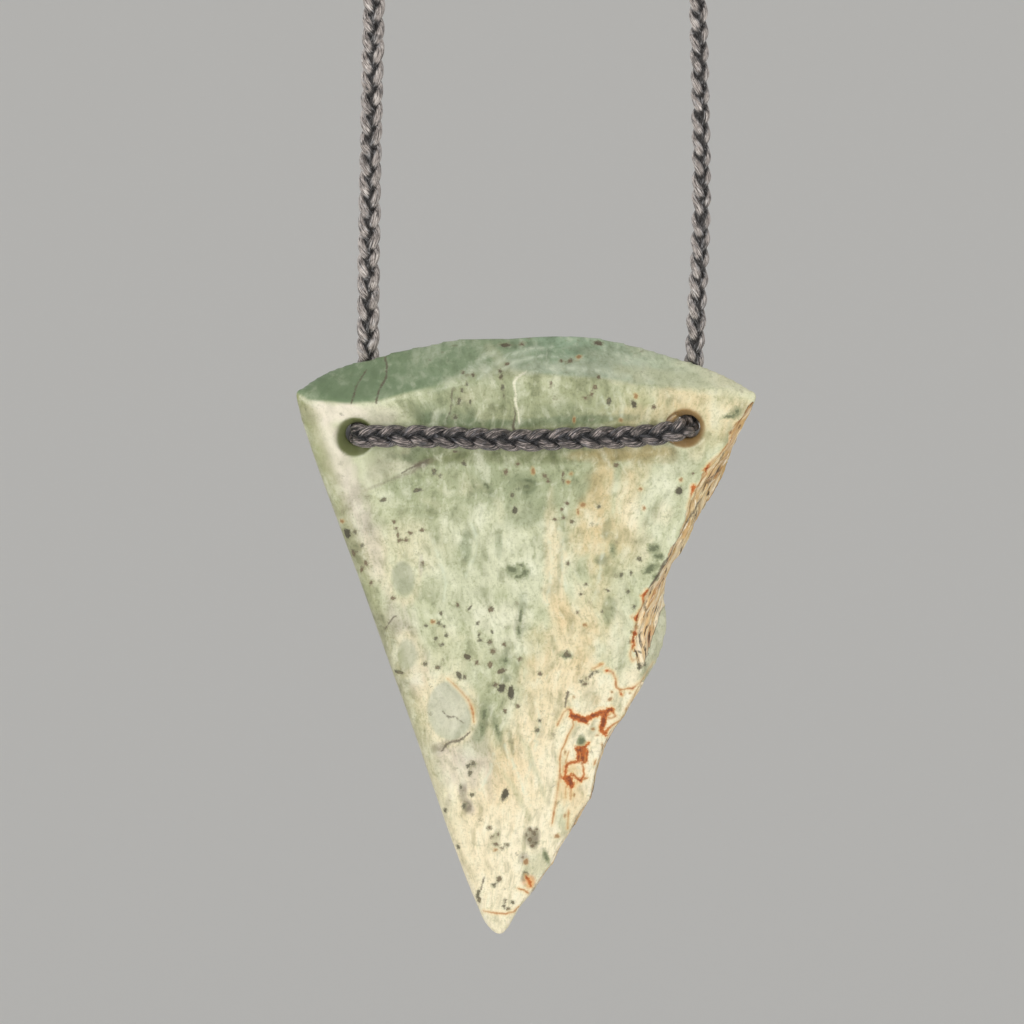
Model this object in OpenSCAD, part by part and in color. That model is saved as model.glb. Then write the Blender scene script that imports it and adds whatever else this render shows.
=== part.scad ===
// Jade tooth pendant on a braided cord, hanging as it is worn. The front looks along -Y.
// The origin is where the loop hangs at the nape, under the join of the cord.

/* [Stone] */
// Width across the two top corners
stone_w = 65.6; // [64.5:0.1:66.5]
// Length from the corners down to the tip, along the face
stone_h = 81.1; // [80:0.1:82.5]
// Greatest thickness of the stone
stone_t = 9; // [8.4:0.1:9.2]
// Rise of the top facet for each millimetre towards the back
facet_rise = 0.42; // [0.36:0.01:0.44]
// Width of the rounding along the smooth left edge, at the corner
edge_round = 2.9; // [2.2:0.1:3.4]
// Swell of the polished face in its middle
face_swell = 0.4; // [0.2:0.05:0.5]
// Width of the softened rim round the top facet
rim_soft = 0.9; // [0.5:0.1:1.2]
// Forward lean of the top as the stone hangs, in degrees
lean = 15; // [14:0.5:16]

/* [Holes] */
// Radius of the two drilled holes
bore_r = 2; // [1.9:0.05:2.2]
// Radius of each hole's mouth at the face
mouth_r = 2.7; // [2.5:0.05:2.9]
// Depth over which a mouth narrows to the hole
mouth_h = 2.6; // [2:0.1:3.2]

/* [Cord] */
// Diameter of the braided cord
cord_d = 3; // [2.6:0.1:3.1]

/* [Join] */
// Length of the whipped sleeve at the nape
join_l = 16; // [14:1:18]
// Diameter of the sleeve
join_d = 4.8; // [4.2:0.1:5.4]
// Bevel of the sleeve's ends
join_bevel = 0.6; // [0.3:0.1:0.8]

/* [Hidden] */

// The sections of the stone are written for this width and length
DRAWN_W = 65.6;
DRAWN_H = 81.1;
scale_x = stone_w / DRAWN_W;
scale_z = stone_h / DRAWN_H;

// The left edge is straight: its place at the corner, and its run to the right for each millimetre down
LEFT_X = -34;
LEFT_RUN = 0.345;
// The left corner is rounded off: how much it gives at the top, and how far down
LEFT_CORNER = 0.7;
LEFT_CORNER_H = 4;

// The broken right side, a row for each section
// [down from the corners, outer edge, border of the polished face]
BROKEN_SIDE = [
  [ 0.0, 32.3, 31.9],
  [ 1.6, 32.1, 31.4],
  [ 4.3, 30.9, 29.4],
  [ 7.0, 29.1, 28.4],
  [ 9.2, 28.6, 26.5],
  [11.2, 28.3, 24.8],
  [12.7, 27.8, 24.2],
  [15.8, 25.8, 22.7],
  [19.7, 23.5, 21.9],
  [22.0, 22.7, 20.6],
  [23.7, 21.8, 19.9],
  [25.5, 20.4, 18.8],
  [28.5, 19.8, 16.9],
  [31.2, 19.4, 15.9],
  [33.2, 19.5, 15.2],
  [35.0, 19.8, 14.8],
  [38.6, 19.0, 14.8],
  [40.7, 17.9, 15.8],
  [42.8, 16.3, 15.8],
  [46.4, 14.4, 13.9],
  [48.0, 13.6, 13.1],
  [49.5, 12.4, 11.9],
  [52.4, 10.9, 10.4],
  [55.5,  9.9,  9.4],
  [60.2,  9.0,  8.5],
  [62.0,  7.8,  7.3],
  [65.5,  6.1,  5.6],
  [68.1,  4.3,  3.8],
  [70.3,  3.4,  2.9],
  [71.1,  2.7,  2.2],
  [74.2,  0.7,  0.2],
  [76.8, -1.3, -1.8],
  [78.8, -2.3, -2.8]
];

// The rounded tip, a row for each section
// [down from the corners, left edge, right edge]
TIP = [
  [79.4, -6.5, -2.6],
  [80.4, -5.8, -3.1],
  [81.1, -4.8, -3.8]
];

// Height of the front crest over the corners
// [across, height]
CREST = [
  [-33.4,  0.2],
  [-32.0, -0.4],
  [-30.3, -0.9],
  [-28.4, -0.9],
  [-25.6, -0.8],
  [-23.0, -0.5],
  [-20.3,  0.2],
  [-14.7,  1.4],
  [-12.0,  2.2],
  [ -7.4,  2.8],
  [ -2.0,  3.0],
  [  3.4,  3.1],
  [  9.9,  2.6],
  [ 14.4,  1.7],
  [ 19.0,  1.2],
  [ 28.0,  0.6],
  [ 32.2,  0.3]
];

// Thickness down the stone, as a share of the greatest
// [down from the corners, share]
THINNING = [
  [ 0.0, 1.00],
  [20.0, 1.00],
  [37.0, 0.97],
  [47.0, 0.92],
  [62.0, 0.80],
  [73.0, 0.66],
  [78.0, 0.54],
  [81.1, 0.36]
];

// The two holes, a row each
// [across, below the corners, turn of the hole to the left as it goes back, in degrees]
HOLES = [
  [-25.0, 5.9, -9.5],
  [ 22.2, 4.7, -5]
];

// Where the front of the stone, level with the holes, hangs
HANG_Y = -9.9;
HANG_Z = -175;
HANG_DOWN = 5.2;

// Points of a section: across the polished face, how much closer they are at the left, and across the
// broken band
FACE_STEPS = 24;
FACE_SPREAD = 1.6;
BAND_STEPS = 3;
// Widths over which the back rounds up from the left edge, and from the broken edge at the top and low down
BACK_LEFT = 9;
BACK_RIGHT = 18;
BACK_RIGHT_LOW = 12;
// The most that those widths are of a narrow section
BACK_LEFT_SHARE = 0.35;
BACK_RIGHT_SHARE = 0.45;
// Fullness of the back's rounding at each edge
LEFT_POWER = 1.15;
RIGHT_POWER = 1.7;
// Depth at which the back's rounding on the right has become the lower one
BACK_CHANGE = 15;
// Share of the thickness at which the left edge stands furthest out
NOSE_SHARE = 0.33;
// Share of the left rounding's width that is lost towards the tip, and its most in a narrow section
NOSE_LOSS = 0.5;
NOSE_W_SHARE = 0.3;
// Least depth of the edges where the front and the back meet
EDGE_FLAT = 0.5;
// Set-back of the broken edge: its least, its growth with the band's width, and how late it falls away
BAND_BACK = 0.8;
BAND_SLOPE = 1.1;
BAND_POWER = 1.3;
// The edges come forward at the top corners: the share of their depth that is left there, and how far
// down it is whole
CORNER_SHARE = 0.3;
CORNER_H = 6;
// Depth to which the arch of the top fades out
ARCH_FADE = 17;
// The softened rim of the top facet, as shares of its width, a row for each ring
// [in from the crest, below the facet]
RIM = [
  [1.0, 0.00],
  [0.3, 0.15],
  [0.0, 0.70]
];
// The furthest that the rim goes in where the facet is thin
RIM_SHARE = 0.7;
// Reach of the drilling past the faces
DRILL_PAST = 4;
DRILL_SIDES = 64;

// Route of the cord from one end of the join to the other: down the left strand, forward through the left
// hole, across the front, back through the right hole and up the right strand
// [x, y, z]
ROUTE = [
  [-15.0,   0.0,    0.5],
  [-20.1,   0.0,   -4.6],
  [-22.0,   0.0,  -11.6],
  [-22.0,   0.0,  -35.0],
  [-22.0,   0.0,  -85.0],
  [-22.5,   0.0, -112.0],
  [-22.9,   0.0, -130.0],
  [-23.3,   0.0, -152.0],
  [-23.4,   0.0, -170.8],
  [-23.4,  -0.3, -172.1],
  [-23.5,  -1.1, -173.1],
  [-23.7,  -2.2, -173.7],
  [-24.6,  -8.3, -175.2],
  [-24.4,  -9.9, -175.5],
  [-23.4, -11.4, -175.6],
  [-21.6, -12.0, -175.6],
  [-17.0, -12.1, -175.6],
  [ -8.4, -12.0, -175.9],
  [ -1.0, -12.0, -176.2],
  [  6.0, -12.0, -175.9],
  [ 14.0, -12.0, -175.7],
  [ 19.0, -12.0, -175.2],
  [ 20.8, -11.6, -174.8],
  [ 22.0, -10.5, -174.5],
  [ 22.5,  -9.0, -174.2],
  [ 23.0,  -4.7, -173.0],
  [ 23.1,  -3.5, -172.4],
  [ 23.2,  -2.7, -171.4],
  [ 23.3,  -2.4, -170.1],
  [ 23.9,  -2.2, -160.0],
  [ 24.7,  -1.7, -143.0],
  [ 24.6,  -1.2, -127.0],
  [ 24.1,  -0.6, -108.0],
  [ 23.2,   0.0,  -85.0],
  [ 22.0,   0.0,  -35.0],
  [ 22.0,   0.0,  -11.6],
  [ 20.1,   0.0,   -4.6],
  [ 15.0,   0.0,    0.5]
];
CORD_SIDES = 8;
// Greatest distance between two rings of the cord, and greatest turn between them in degrees
RING_STEP = 11;
RING_TURN = 20;

function unit(v) = v / norm(v);
function column(table, n) = [for (row = table) [row[0], row[n]]];

// Places of a section of the stone, for a depth below the corners
function left_edge(down) =
  down < TIP[0][0]
  ? LEFT_X + LEFT_RUN * down + LEFT_CORNER * pow(max(0, 1 - down / LEFT_CORNER_H), 2)
  : lookup(down, column(TIP, 1));
function right_edge(down) =
  down < TIP[0][0] ? lookup(down, column(BROKEN_SIDE, 1)) : lookup(down, column(TIP, 2));
function border(down) =
  down < TIP[0][0] ? lookup(down, column(BROKEN_SIDE, 2)) : right_edge(down) - EDGE_FLAT;
function width(down) = right_edge(down) - left_edge(down);
function thickness(down) = stone_t * lookup(down, THINNING);
function corner(down) = CORNER_SHARE + (1 - CORNER_SHARE) * min(1, down / CORNER_H);
function set_back(down) =
  min(corner(down) * (BAND_BACK + BAND_SLOPE * (right_edge(down) - border(down))), thickness(down) / 2);

// The places across of a section, close together at the rounded left edge
function stations(down) = concat(
  [for (i = [0 : FACE_STEPS])
    left_edge(down) + (border(down) - left_edge(down)) * pow(i / FACE_STEPS, FACE_SPREAD)],
  [for (i = [1 : BAND_STEPS]) border(down) + (right_edge(down) - border(down)) * i / BAND_STEPS]
);

// Front of a section: a quarter round at the left edge, the polished face, and the broken band
function nose_y(down) = corner(down) * (NOSE_SHARE * thickness(down) - EDGE_FLAT / 2);
function nose_w(down) = min(edge_round * (1 - NOSE_LOSS * down / DRAWN_H), NOSE_W_SHARE * width(down));
function quarter(t) = 1 - sqrt(1 - pow(1 - min(t, 1), 2));
function across(x, down) = (x - left_edge(down)) / width(down);
function front_y(x, down) =
  nose_y(down) * quarter((x - left_edge(down)) / nose_w(down))
  + set_back(down) * pow(max(0, (x - border(down)) / (right_edge(down) - border(down))), BAND_POWER)
  - face_swell * sin(180 * across(x, down));

// Back of a section: it rounds up from both edges to the full thickness
function rise_left(t) = pow(1 - pow(1 - min(t, 1), 2), LEFT_POWER);
function rise_right(t) = 1 - pow(1 - min(t, 1), RIGHT_POWER);
function right_round(down) =
  BACK_RIGHT + (BACK_RIGHT_LOW - BACK_RIGHT) * min(1, down / BACK_CHANGE);
function edge_y(x, down) =
  EDGE_FLAT + (1 - across(x, down)) * nose_y(down) + across(x, down) * set_back(down);
function back_y(x, down) =
  edge_y(x, down) + (thickness(down) - edge_y(x, down))
  * rise_left((x - left_edge(down)) / min(BACK_LEFT, BACK_LEFT_SHARE * width(down)))
  * rise_right((right_edge(down) - x) / min(right_round(down), BACK_RIGHT_SHARE * width(down)));

// Height of a point: the arch and the slope of the top fade out down the stone
function height(x, y, down) =
  -down + (lookup(x, CREST) + facet_rise * y) * max(0, 1 - down / ARCH_FADE);

function section(down) = let (xs = stations(down)) concat(
  [for (x = xs) [x, front_y(x, down), height(x, front_y(x, down), down)]],
  [for (i = [len(xs) - 1 : -1 : 0]) [xs[i], back_y(xs[i], down), height(xs[i], back_y(xs[i], down), down)]]
);

// The rim of the top facet: the crest moved in towards the middle of the facet, and down
function middle_y(ring, i) = (ring[i][1] + ring[len(ring) - 1 - i][1]) / 2;
function inset(p, mid, by) =
  let (y = p[1] + sign(mid - p[1]) * min(by, RIM_SHARE * abs(mid - p[1])))
  [p[0] * (1 - 2 * by / DRAWN_W), y, p[2] + facet_rise * (y - p[1])];
function rim(ring, by, drop) =
  [for (i = [0 : len(ring) - 1]) inset(ring[i], middle_y(ring, i), by) - [0, 0, drop]];

DEPTHS = concat([for (row = BROKEN_SIDE) if (row[0] > 0) row[0]], [for (row = TIP) row[0]]);
crest = section(0);
rings = concat(
  [for (row = RIM) rim(crest, row[0] * rim_soft, row[1] * rim_soft)],
  [for (down = DEPTHS) section(down)]
);

// A closed skin over rings of points, with the first and the last ring bridged from side to side
function skin_faces(count, size) = concat(
  [for (k = [0 : count - 2], i = [0 : size - 1])
    let (a = k * size + i, b = k * size + (i + 1) % size) [a, b, b + size, a + size]],
  [for (i = [0 : size / 2 - 2]) [size - 1 - i, size - 2 - i, i + 1, i]],
  [for (i = [0 : size / 2 - 2])
    let (a = (count - 1) * size + i, b = count * size - 1 - i) [a, a + 1, b - 1, b]]
);
function split(faces) = [for (f = faces) each [[f[0], f[1], f[2]], [f[0], f[2], f[3]]]];

module tooth() {
  size = len(rings[0]);
  points = [for (ring = rings) each ring];
  polyhedron([for (p = points) [p[0] * scale_x, p[1], p[2] * scale_z]], split(skin_faces(len(rings), size)));
}

module drilled_hole(x, down, turn) {
  wide_r = mouth_r + (mouth_r - bore_r) * DRILL_PAST / mouth_h;
  depth = back_y(x - back_y(x, down) * tan(turn), down);
  translate([x * scale_x, 0, -down * scale_z])
    rotate([0, 0, turn])
      rotate([-90, 0, 0]) {
        translate([0, 0, -DRILL_PAST])
          cylinder(h = stone_t + 2 * DRILL_PAST, r = bore_r, $fn = DRILL_SIDES);
        translate([0, 0, -DRILL_PAST])
          cylinder(h = mouth_h + DRILL_PAST, r1 = wide_r, r2 = bore_r, $fn = DRILL_SIDES);
        translate([0, 0, depth - mouth_h])
          cylinder(h = mouth_h + DRILL_PAST, r1 = bore_r, r2 = wide_r, $fn = DRILL_SIDES);
      }
}

module pendant_stone() {
  color([0.80, 0.82, 0.68])
    translate([0, HANG_Y, HANG_Z])
      rotate([lean, 0, 0])
        translate([0, 0, HANG_DOWN])
          difference() {
            tooth();
            for (hole = HOLES) {
              drilled_hole(hole[0], hole[1], hole[2]);
            }
          }
}

// The cord follows its route on a smooth curve, and each ring of the tube keeps the turn of the last
join_z = join_d / 2;
route = concat([[-join_l / 2, 0, join_z]], ROUTE, [[join_l / 2, 0, join_z]]);
last = len(route) - 1;
function way(i) = unit(route[i + 1] - route[i]);
function reach(i) = norm(route[i + 1] - route[i]);
function heading(i) =
  i == 0 ? [-1, 0, 0] : i == last ? [-1, 0, 0] : unit(way(i - 1) * reach(i) + way(i) * reach(i - 1));
function curve_point(i, t) =
  route[i] * (1 + t * t * (2 * t - 3)) + heading(i) * reach(i) * t * pow(1 - t, 2)
  + route[i + 1] * t * t * (3 - 2 * t) - heading(i + 1) * reach(i) * t * t * (1 - t);
function ring_count(i) =
  max(ceil(reach(i) / RING_STEP), ceil(acos(min(1, heading(i) * heading(i + 1))) / RING_TURN));
line = concat(
  [for (i = [0 : last - 1], n = [ring_count(i)], k = [0 : n - 1]) curve_point(i, k / n)],
  [route[last]]
);
function tangent(i) =
  i == 0 ? [-1, 0, 0] : i == len(line) - 1 ? [-1, 0, 0]
  : unit(unit(line[i] - line[i - 1]) + unit(line[i + 1] - line[i]));
function squared(v, along) = unit(v - (v * along) * along);
sides = [
  for (i = 0, v = [0, 1, 0]; i < len(line); i = i + 1, v = i < len(line) ? squared(v, tangent(i)) : v) v
];

module cord() {
  color([0.30, 0.28, 0.28])
    polyhedron(
      [for (i = [0 : len(line) - 1], k = [0 : CORD_SIDES - 1])
        line[i] + cord_d / 2 * (cos(360 * k / CORD_SIDES) * sides[i]
        + sin(360 * k / CORD_SIDES) * cross(tangent(i), sides[i]))],
      concat(
        [[for (k = [0 : CORD_SIDES - 1]) k]],
        split([for (i = [0 : len(line) - 2], k = [0 : CORD_SIDES - 1])
          let (a = i * CORD_SIDES + k, b = i * CORD_SIDES + (k + 1) % CORD_SIDES)
          [a, a + CORD_SIDES, b + CORD_SIDES, b]]),
        [[for (k = [CORD_SIDES - 1 : -1 : 0]) (len(line) - 1) * CORD_SIDES + k]]
      )
    );
}

module cord_join() {
  color([0.24, 0.22, 0.22])
    translate([0, 0, join_z])
      rotate([0, 90, 0])
        rotate_extrude($fn = 48)
          polygon([
            [0, -join_l / 2],
            [join_d / 2 - join_bevel, -join_l / 2],
            [join_d / 2, -join_l / 2 + join_bevel],
            [join_d / 2, join_l / 2 - join_bevel],
            [join_d / 2 - join_bevel, join_l / 2],
            [0, join_l / 2]
          ]);
}

pendant_stone();
cord();
cord_join();
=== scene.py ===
"""A jade tooth pendant on a braided cord: the looks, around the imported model."""
import math
from types import SimpleNamespace
import bpy
import numpy as np
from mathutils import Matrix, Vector


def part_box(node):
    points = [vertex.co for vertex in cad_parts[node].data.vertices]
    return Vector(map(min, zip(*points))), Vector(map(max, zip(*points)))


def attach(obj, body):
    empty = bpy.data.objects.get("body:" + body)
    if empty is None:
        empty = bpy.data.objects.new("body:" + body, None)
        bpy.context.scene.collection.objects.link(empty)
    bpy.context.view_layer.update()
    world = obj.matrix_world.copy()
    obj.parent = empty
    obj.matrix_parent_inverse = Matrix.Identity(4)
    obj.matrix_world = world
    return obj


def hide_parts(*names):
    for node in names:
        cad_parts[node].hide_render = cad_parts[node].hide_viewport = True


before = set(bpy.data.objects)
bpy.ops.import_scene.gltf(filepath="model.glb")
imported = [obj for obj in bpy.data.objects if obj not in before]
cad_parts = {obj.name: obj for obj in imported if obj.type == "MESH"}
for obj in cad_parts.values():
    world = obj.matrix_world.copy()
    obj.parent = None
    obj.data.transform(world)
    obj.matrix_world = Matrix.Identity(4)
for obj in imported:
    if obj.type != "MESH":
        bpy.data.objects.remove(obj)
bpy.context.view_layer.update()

MM = 0.001

# The photograph: its size, its scale in the plane of the stone's front at the holes, and, in millimetres,
# where that plane is and where the photograph looks from
PHOTO_PIXELS = 1024
PIXELS_PER_MM = 7.0
FRONT_Y = -9.9
EYE_Y = -900.0
COLUMN_OF_X0 = 530
PHOTO_TOP_Z = -113.26
EYE_X = (PHOTO_PIXELS / 2 - COLUMN_OF_X0) / PIXELS_PER_MM
EYE_Z = PHOTO_TOP_Z - PHOTO_PIXELS / 2 / PIXELS_PER_MM
SENSOR_WIDTH = 36.0


def add_camera():
    """The camera stands level with the middle of the photograph and looks along +Y."""
    place = (EYE_X * MM, EYE_Y * MM, EYE_Z * MM)
    bpy.ops.object.camera_add(location=place, rotation=(math.pi / 2, 0, 0))
    camera = bpy.context.object
    camera.name = "photo_camera"
    camera.data.sensor_width = SENSOR_WIDTH
    camera.data.lens = SENSOR_WIDTH * (FRONT_Y - EYE_Y) * PIXELS_PER_MM / PHOTO_PIXELS
    bpy.context.scene.camera = camera


add_camera()

# Nodes and materials

def linear(red, green, blue):
    """A colour given as it looks, from 0 to 255, as the light that it stands for."""
    values = np.array([red, green, blue]) / 255
    return np.where(values <= 0.04045, values / 12.92, ((values + 0.055) / 1.055) ** 2.4)


def rgba(red, green, blue):
    """A colour given as it looks, for a node's socket."""
    return (*linear(red, green, blue), 1.0)


def new_finish(name):
    """An empty node material with its shader and its output joined up."""
    material = bpy.data.materials.new(name)
    material.use_nodes = True
    tree = material.node_tree
    tree.nodes.clear()
    shader = tree.nodes.new("ShaderNodeBsdfPrincipled")
    output = tree.nodes.new("ShaderNodeOutputMaterial")
    tree.links.new(shader.outputs["BSDF"], output.inputs["Surface"])
    return material, tree, shader


def give(tree, node, inputs):
    """Sets a node's inputs: a socket is linked to, and anything else is a value."""
    for name, value in inputs.items():
        if isinstance(value, bpy.types.NodeSocket):
            tree.links.new(value, node.inputs[name])
        else:
            node.inputs[name].default_value = value


def add(tree, kind, inputs=None, **settings):
    node = tree.nodes.new("ShaderNode" + kind)
    for name, value in settings.items():
        setattr(node, name, value)
    give(tree, node, inputs or {})
    return node


def stretched(tree, where, scale):
    return add(tree, "Mapping", {"Vector": where, "Scale": scale}).outputs["Vector"]


def object_pattern(tree, scale=(1, 1, 1)):
    """The place on the piece in its own frame, stretched."""
    return stretched(tree, add(tree, "TexCoord").outputs["Object"], scale)


def clouds(tree, where, scale, detail, roughness=0.55, distortion=0.0):
    """A noise pattern round 0.5."""
    return add(tree, "TexNoise", {
        "Vector": where,
        "Scale": scale,
        "Detail": detail,
        "Roughness": roughness,
        "Distortion": distortion,
    }).outputs["Fac"]


def between(tree, value, low, high, to_low=0.0, to_high=1.0, shape="SMOOTHSTEP"):
    """A value carried from low..high to to_low..to_high, and held there."""
    return add(tree, "MapRange", {
        "Value": value,
        "From Min": low,
        "From Max": high,
        "To Min": to_low,
        "To Max": to_high,
    }, interpolation_type=shape, clamp=True).outputs["Result"]


def worked_out(tree, operation, first, second):
    """Two values brought together, each of them a socket or a number."""
    return add(tree, "Math", {0: first, 1: second}, operation=operation).outputs[0]


def sum_of(tree, first, second):
    return worked_out(tree, "ADD", first, second)


def product(tree, first, second):
    return worked_out(tree, "MULTIPLY", first, second)


def difference(tree, first, second):
    return worked_out(tree, "SUBTRACT", first, second)


def larger(tree, first, second):
    return worked_out(tree, "MAXIMUM", first, second)


def layer(tree, under, over, cover, blend="MIX"):
    """A colour laid over another where the cover says."""
    node = add(tree, "Mix", {0: cover, 6: under, 7: over}, data_type="RGBA", blend_type=blend)
    return node.outputs[2]


def named(tree, attribute, output="Fac"):
    return add(tree, "Attribute", attribute_name=attribute).outputs[output]


def bumps(tree, height, distance, strength, **under):
    """Small bumps, laid over another node's Normal where one is given."""
    inputs = {"Height": height, "Distance": distance, "Strength": strength, **under}
    return add(tree, "Bump", inputs).outputs["Normal"]


# Points and values on a mesh

def rows_of(items, name):
    """A vector of each vertex, normal or face of a mesh, as rows of three numbers."""
    values = np.empty(len(items) * 3, np.float32)
    items.foreach_get(name, values)
    return values.reshape(-1, 3).astype(float)


def put_points(mesh, points):
    mesh.vertices.foreach_set("co", points.astype(np.float32).ravel())
    mesh.update()


def note(mesh, name, values, kind="FLOAT", part="value"):
    """Keeps a number, a vector or a colour for each vertex on the mesh."""
    attribute = mesh.attributes.new(name, kind, "POINT")
    attribute.data.foreach_set(part, np.asarray(values, np.float32).ravel())


def smooth_all_over(mesh):
    mesh.polygons.foreach_set("use_smooth", np.ones(len(mesh.polygons), bool))
    mesh.validate()


# The cord

# The route of the cord, in metres: down the left strand, forward through the left hole, across the front,
# back through the right hole and up the right strand
ROUTE = [
    (-0.0150, 0.0000, 0.0005),
    (-0.0201, 0.0000, -0.0046),
    (-0.0220, 0.0000, -0.0116),
    (-0.0220, 0.0000, -0.0350),
    (-0.0220, 0.0000, -0.0850),
    (-0.0225, 0.0000, -0.1120),
    (-0.0229, 0.0000, -0.1300),
    (-0.0233, 0.0000, -0.1520),
    (-0.0234, 0.0000, -0.1708),
    (-0.0234, -0.0003, -0.1721),
    (-0.0235, -0.0011, -0.1731),
    (-0.0237, -0.0022, -0.1737),
    (-0.0246, -0.0083, -0.1752),
    (-0.0244, -0.0099, -0.1755),
    (-0.0234, -0.0114, -0.1756),
    (-0.0216, -0.0120, -0.1756),
    (-0.0170, -0.0121, -0.1756),
    (-0.0084, -0.0120, -0.1759),
    (-0.0010, -0.0120, -0.1762),
    (0.0060, -0.0120, -0.1759),
    (0.0140, -0.0120, -0.1757),
    (0.0190, -0.0120, -0.1752),
    (0.0208, -0.0116, -0.1748),
    (0.0220, -0.0105, -0.1745),
    (0.0225, -0.0090, -0.1742),
    (0.0230, -0.0047, -0.1730),
    (0.0231, -0.0035, -0.1724),
    (0.0232, -0.0027, -0.1714),
    (0.0233, -0.0024, -0.1701),
    (0.0239, -0.0022, -0.1600),
    (0.0247, -0.0017, -0.1430),
    (0.0246, -0.0012, -0.1270),
    (0.0241, -0.0006, -0.1080),
    (0.0232, 0.0000, -0.0850),
    (0.0220, 0.0000, -0.0350),
    (0.0220, 0.0000, -0.0116),
    (0.0201, 0.0000, -0.0046),
    (0.0150, 0.0000, 0.0005),
]
CORD_D = 0.003
# Into how many steps each stretch of the route is cut, and the gap between the rings of the finished strands
ROUTE_STEPS = 200
RING_GAP = 0.00026
# The plait: length over which a strand goes from side to side and back, how far the strands' middles reach
# across and through the cord, and half the width and thickness of a strand
PLAIT_STRANDS = 3
PLAIT_LENGTH = 0.0089
PLAIT_REACH = 0.00088
PLAIT_DEPTH = 0.00048
STRAND_HALF_W = 0.00066
STRAND_HALF_T = 0.00068
STRAND_SIDES = 12
# Shares of a strand's thickness: what it gains where it lies highest or deepest, and what it loses all along
STRAND_SWELL = 0.10
STRAND_SQUEEZE = 0.06
# How uneven the strands are: the random values along the cord for their phase and their width, and how
# large these are
CORD_SEED = 5
PHASE_VALUES = 90
PHASE_UNEVEN = 0.10
WIDTH_VALUES = 150
WIDTH_UNEVEN = 0.035
# Turns of the filaments round a strand in each metre, and how far their pattern shifts from strand to strand
FIBRE_TWIST = 90.0
FIBRE_SHIFT = 0.0137
# How the plait is turned about the cord along its way: [place on the route, degrees]
PLAIT_TURN = [
    (0, 10),
    (3, -14),
    (5, 8),
    (7, -6),
    (9, 0),
    (13, -84),
    (17, -92),
    (21, -88),
    (24, -98),
    (29, -136),
    (31, -128),
    (33, -142),
    (36, -130),
    (39, -140),
]
# How much wider the plait lies than its middle size, in the same way: it is flatter across the front
PLAIT_WIDTH = [
    (0, 1.0),
    (4, 1.0),
    (6, 1.10),
    (9, 1.10),
    (11, 1.0),
    (14, 1.15),
    (18, 1.08),
    (23, 1.08),
    (25, 1.0),
    (29, 0.92),
    (32, 0.84),
    (35, 0.88),
    (39, 1.0),
]
# The stretch across the front, in the route's points, and the points over which its painted shade fades out
SHADED_FRONT_STRETCH = (13, 24)
FRONT_SHADE_FADE = 3
# The fibre's colours where the cord hangs free, and darker copies across the front that are painted shade
FIBRE_TONES = {
    "deep": ((44, 40, 38), (12, 10, 10)),
    "body": ((172, 161, 154), (94, 86, 82)),
    "light": ((252, 244, 236), (224, 208, 200)),
    "cool": ((188, 186, 186), (116, 116, 122)),
}


def unit_rows(vectors):
    return vectors / np.linalg.norm(vectors, axis=1, keepdims=True)


def smooth_route():
    """Points evenly along the cord, how far along each is, and its place counted in the route's points."""
    low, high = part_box("cord_join")
    middle_z = (low.z + high.z) / 2
    points = np.array([(low.x, 0, middle_z), *ROUTE, (high.x, 0, middle_z)])
    ways = np.diff(points, axis=0)
    reach = np.linalg.norm(ways, axis=1, keepdims=True)
    heads = unit_rows(ways[:-1] / reach[:-1] * reach[1:] + ways[1:] / reach[1:] * reach[:-1])
    heads = np.vstack([(-1, 0, 0), heads, (-1, 0, 0)])
    t = np.linspace(0, 1, ROUTE_STEPS, endpoint=False)[None, :, None]
    start, end = points[:-1, None], points[1:, None]
    pull = reach[:, None]
    line = (start * (1 + t * t * (2 * t - 3)) + heads[:-1, None] * pull * t * (1 - t) ** 2
            + end * t * t * (3 - 2 * t) - heads[1:, None] * pull * t * t * (1 - t))
    line = np.vstack([line.reshape(-1, 3), points[-1:]])
    along = np.concatenate([[0], np.cumsum(np.linalg.norm(np.diff(line, axis=0), axis=1))])
    place = np.linspace(0, len(points) - 1, len(line))
    rings = int(along[-1] / RING_GAP) + 1
    even = np.linspace(0, along[-1], rings)
    spread = np.stack([np.interp(even, along, line[:, axis]) for axis in range(3)], axis=1)
    return spread, even, np.interp(even, along, place)


def carried_frames(line):
    """The way of a line at each point, and a sideways direction that turns as little as it can."""
    way = unit_rows(np.gradient(line, axis=0))
    side = np.zeros_like(way)
    side[0] = (0, 1, 0)
    for i in range(1, len(way)):
        v = side[i - 1] - way[i] * side[i - 1].dot(way[i])
        side[i] = v / np.linalg.norm(v)
    return way, side


def uneven_along(draws, along, count, size):
    """Random values that change steadily along the cord."""
    return np.interp(along, np.linspace(0, along[-1], count), draws.normal(0, size, count))


def strand_rings(line, along, across, face, spread, start, draws):
    """The rings of points of one strand, which starts at a share of the plait's length between 0 and 1."""
    phase = 2 * np.pi * (along / PLAIT_LENGTH + start)
    phase = phase + uneven_along(draws, along, PHASE_VALUES, PHASE_UNEVEN)
    wide = 1 + uneven_along(draws, along, WIDTH_VALUES, WIDTH_UNEVEN)
    middle = (line + across * (PLAIT_REACH * spread * np.sin(phase))[:, None]
              + face * (PLAIT_DEPTH * np.sin(2 * phase))[:, None])
    way = unit_rows(np.gradient(middle, axis=0))
    out = unit_rows(np.cross(way, face))
    up = np.cross(way, out)
    plump = wide * (0.5 + spread / 2) * (1 + STRAND_SWELL * np.abs(np.sin(2 * phase)) - STRAND_SQUEEZE)
    plump = plump[:, None, None]
    around = 2 * np.pi * np.arange(STRAND_SIDES) / STRAND_SIDES
    return (middle[:, None] + out[:, None] * STRAND_HALF_W * plump * np.cos(around)[None, :, None]
            + up[:, None] * STRAND_HALF_T * plump * np.sin(around)[None, :, None])


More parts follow.
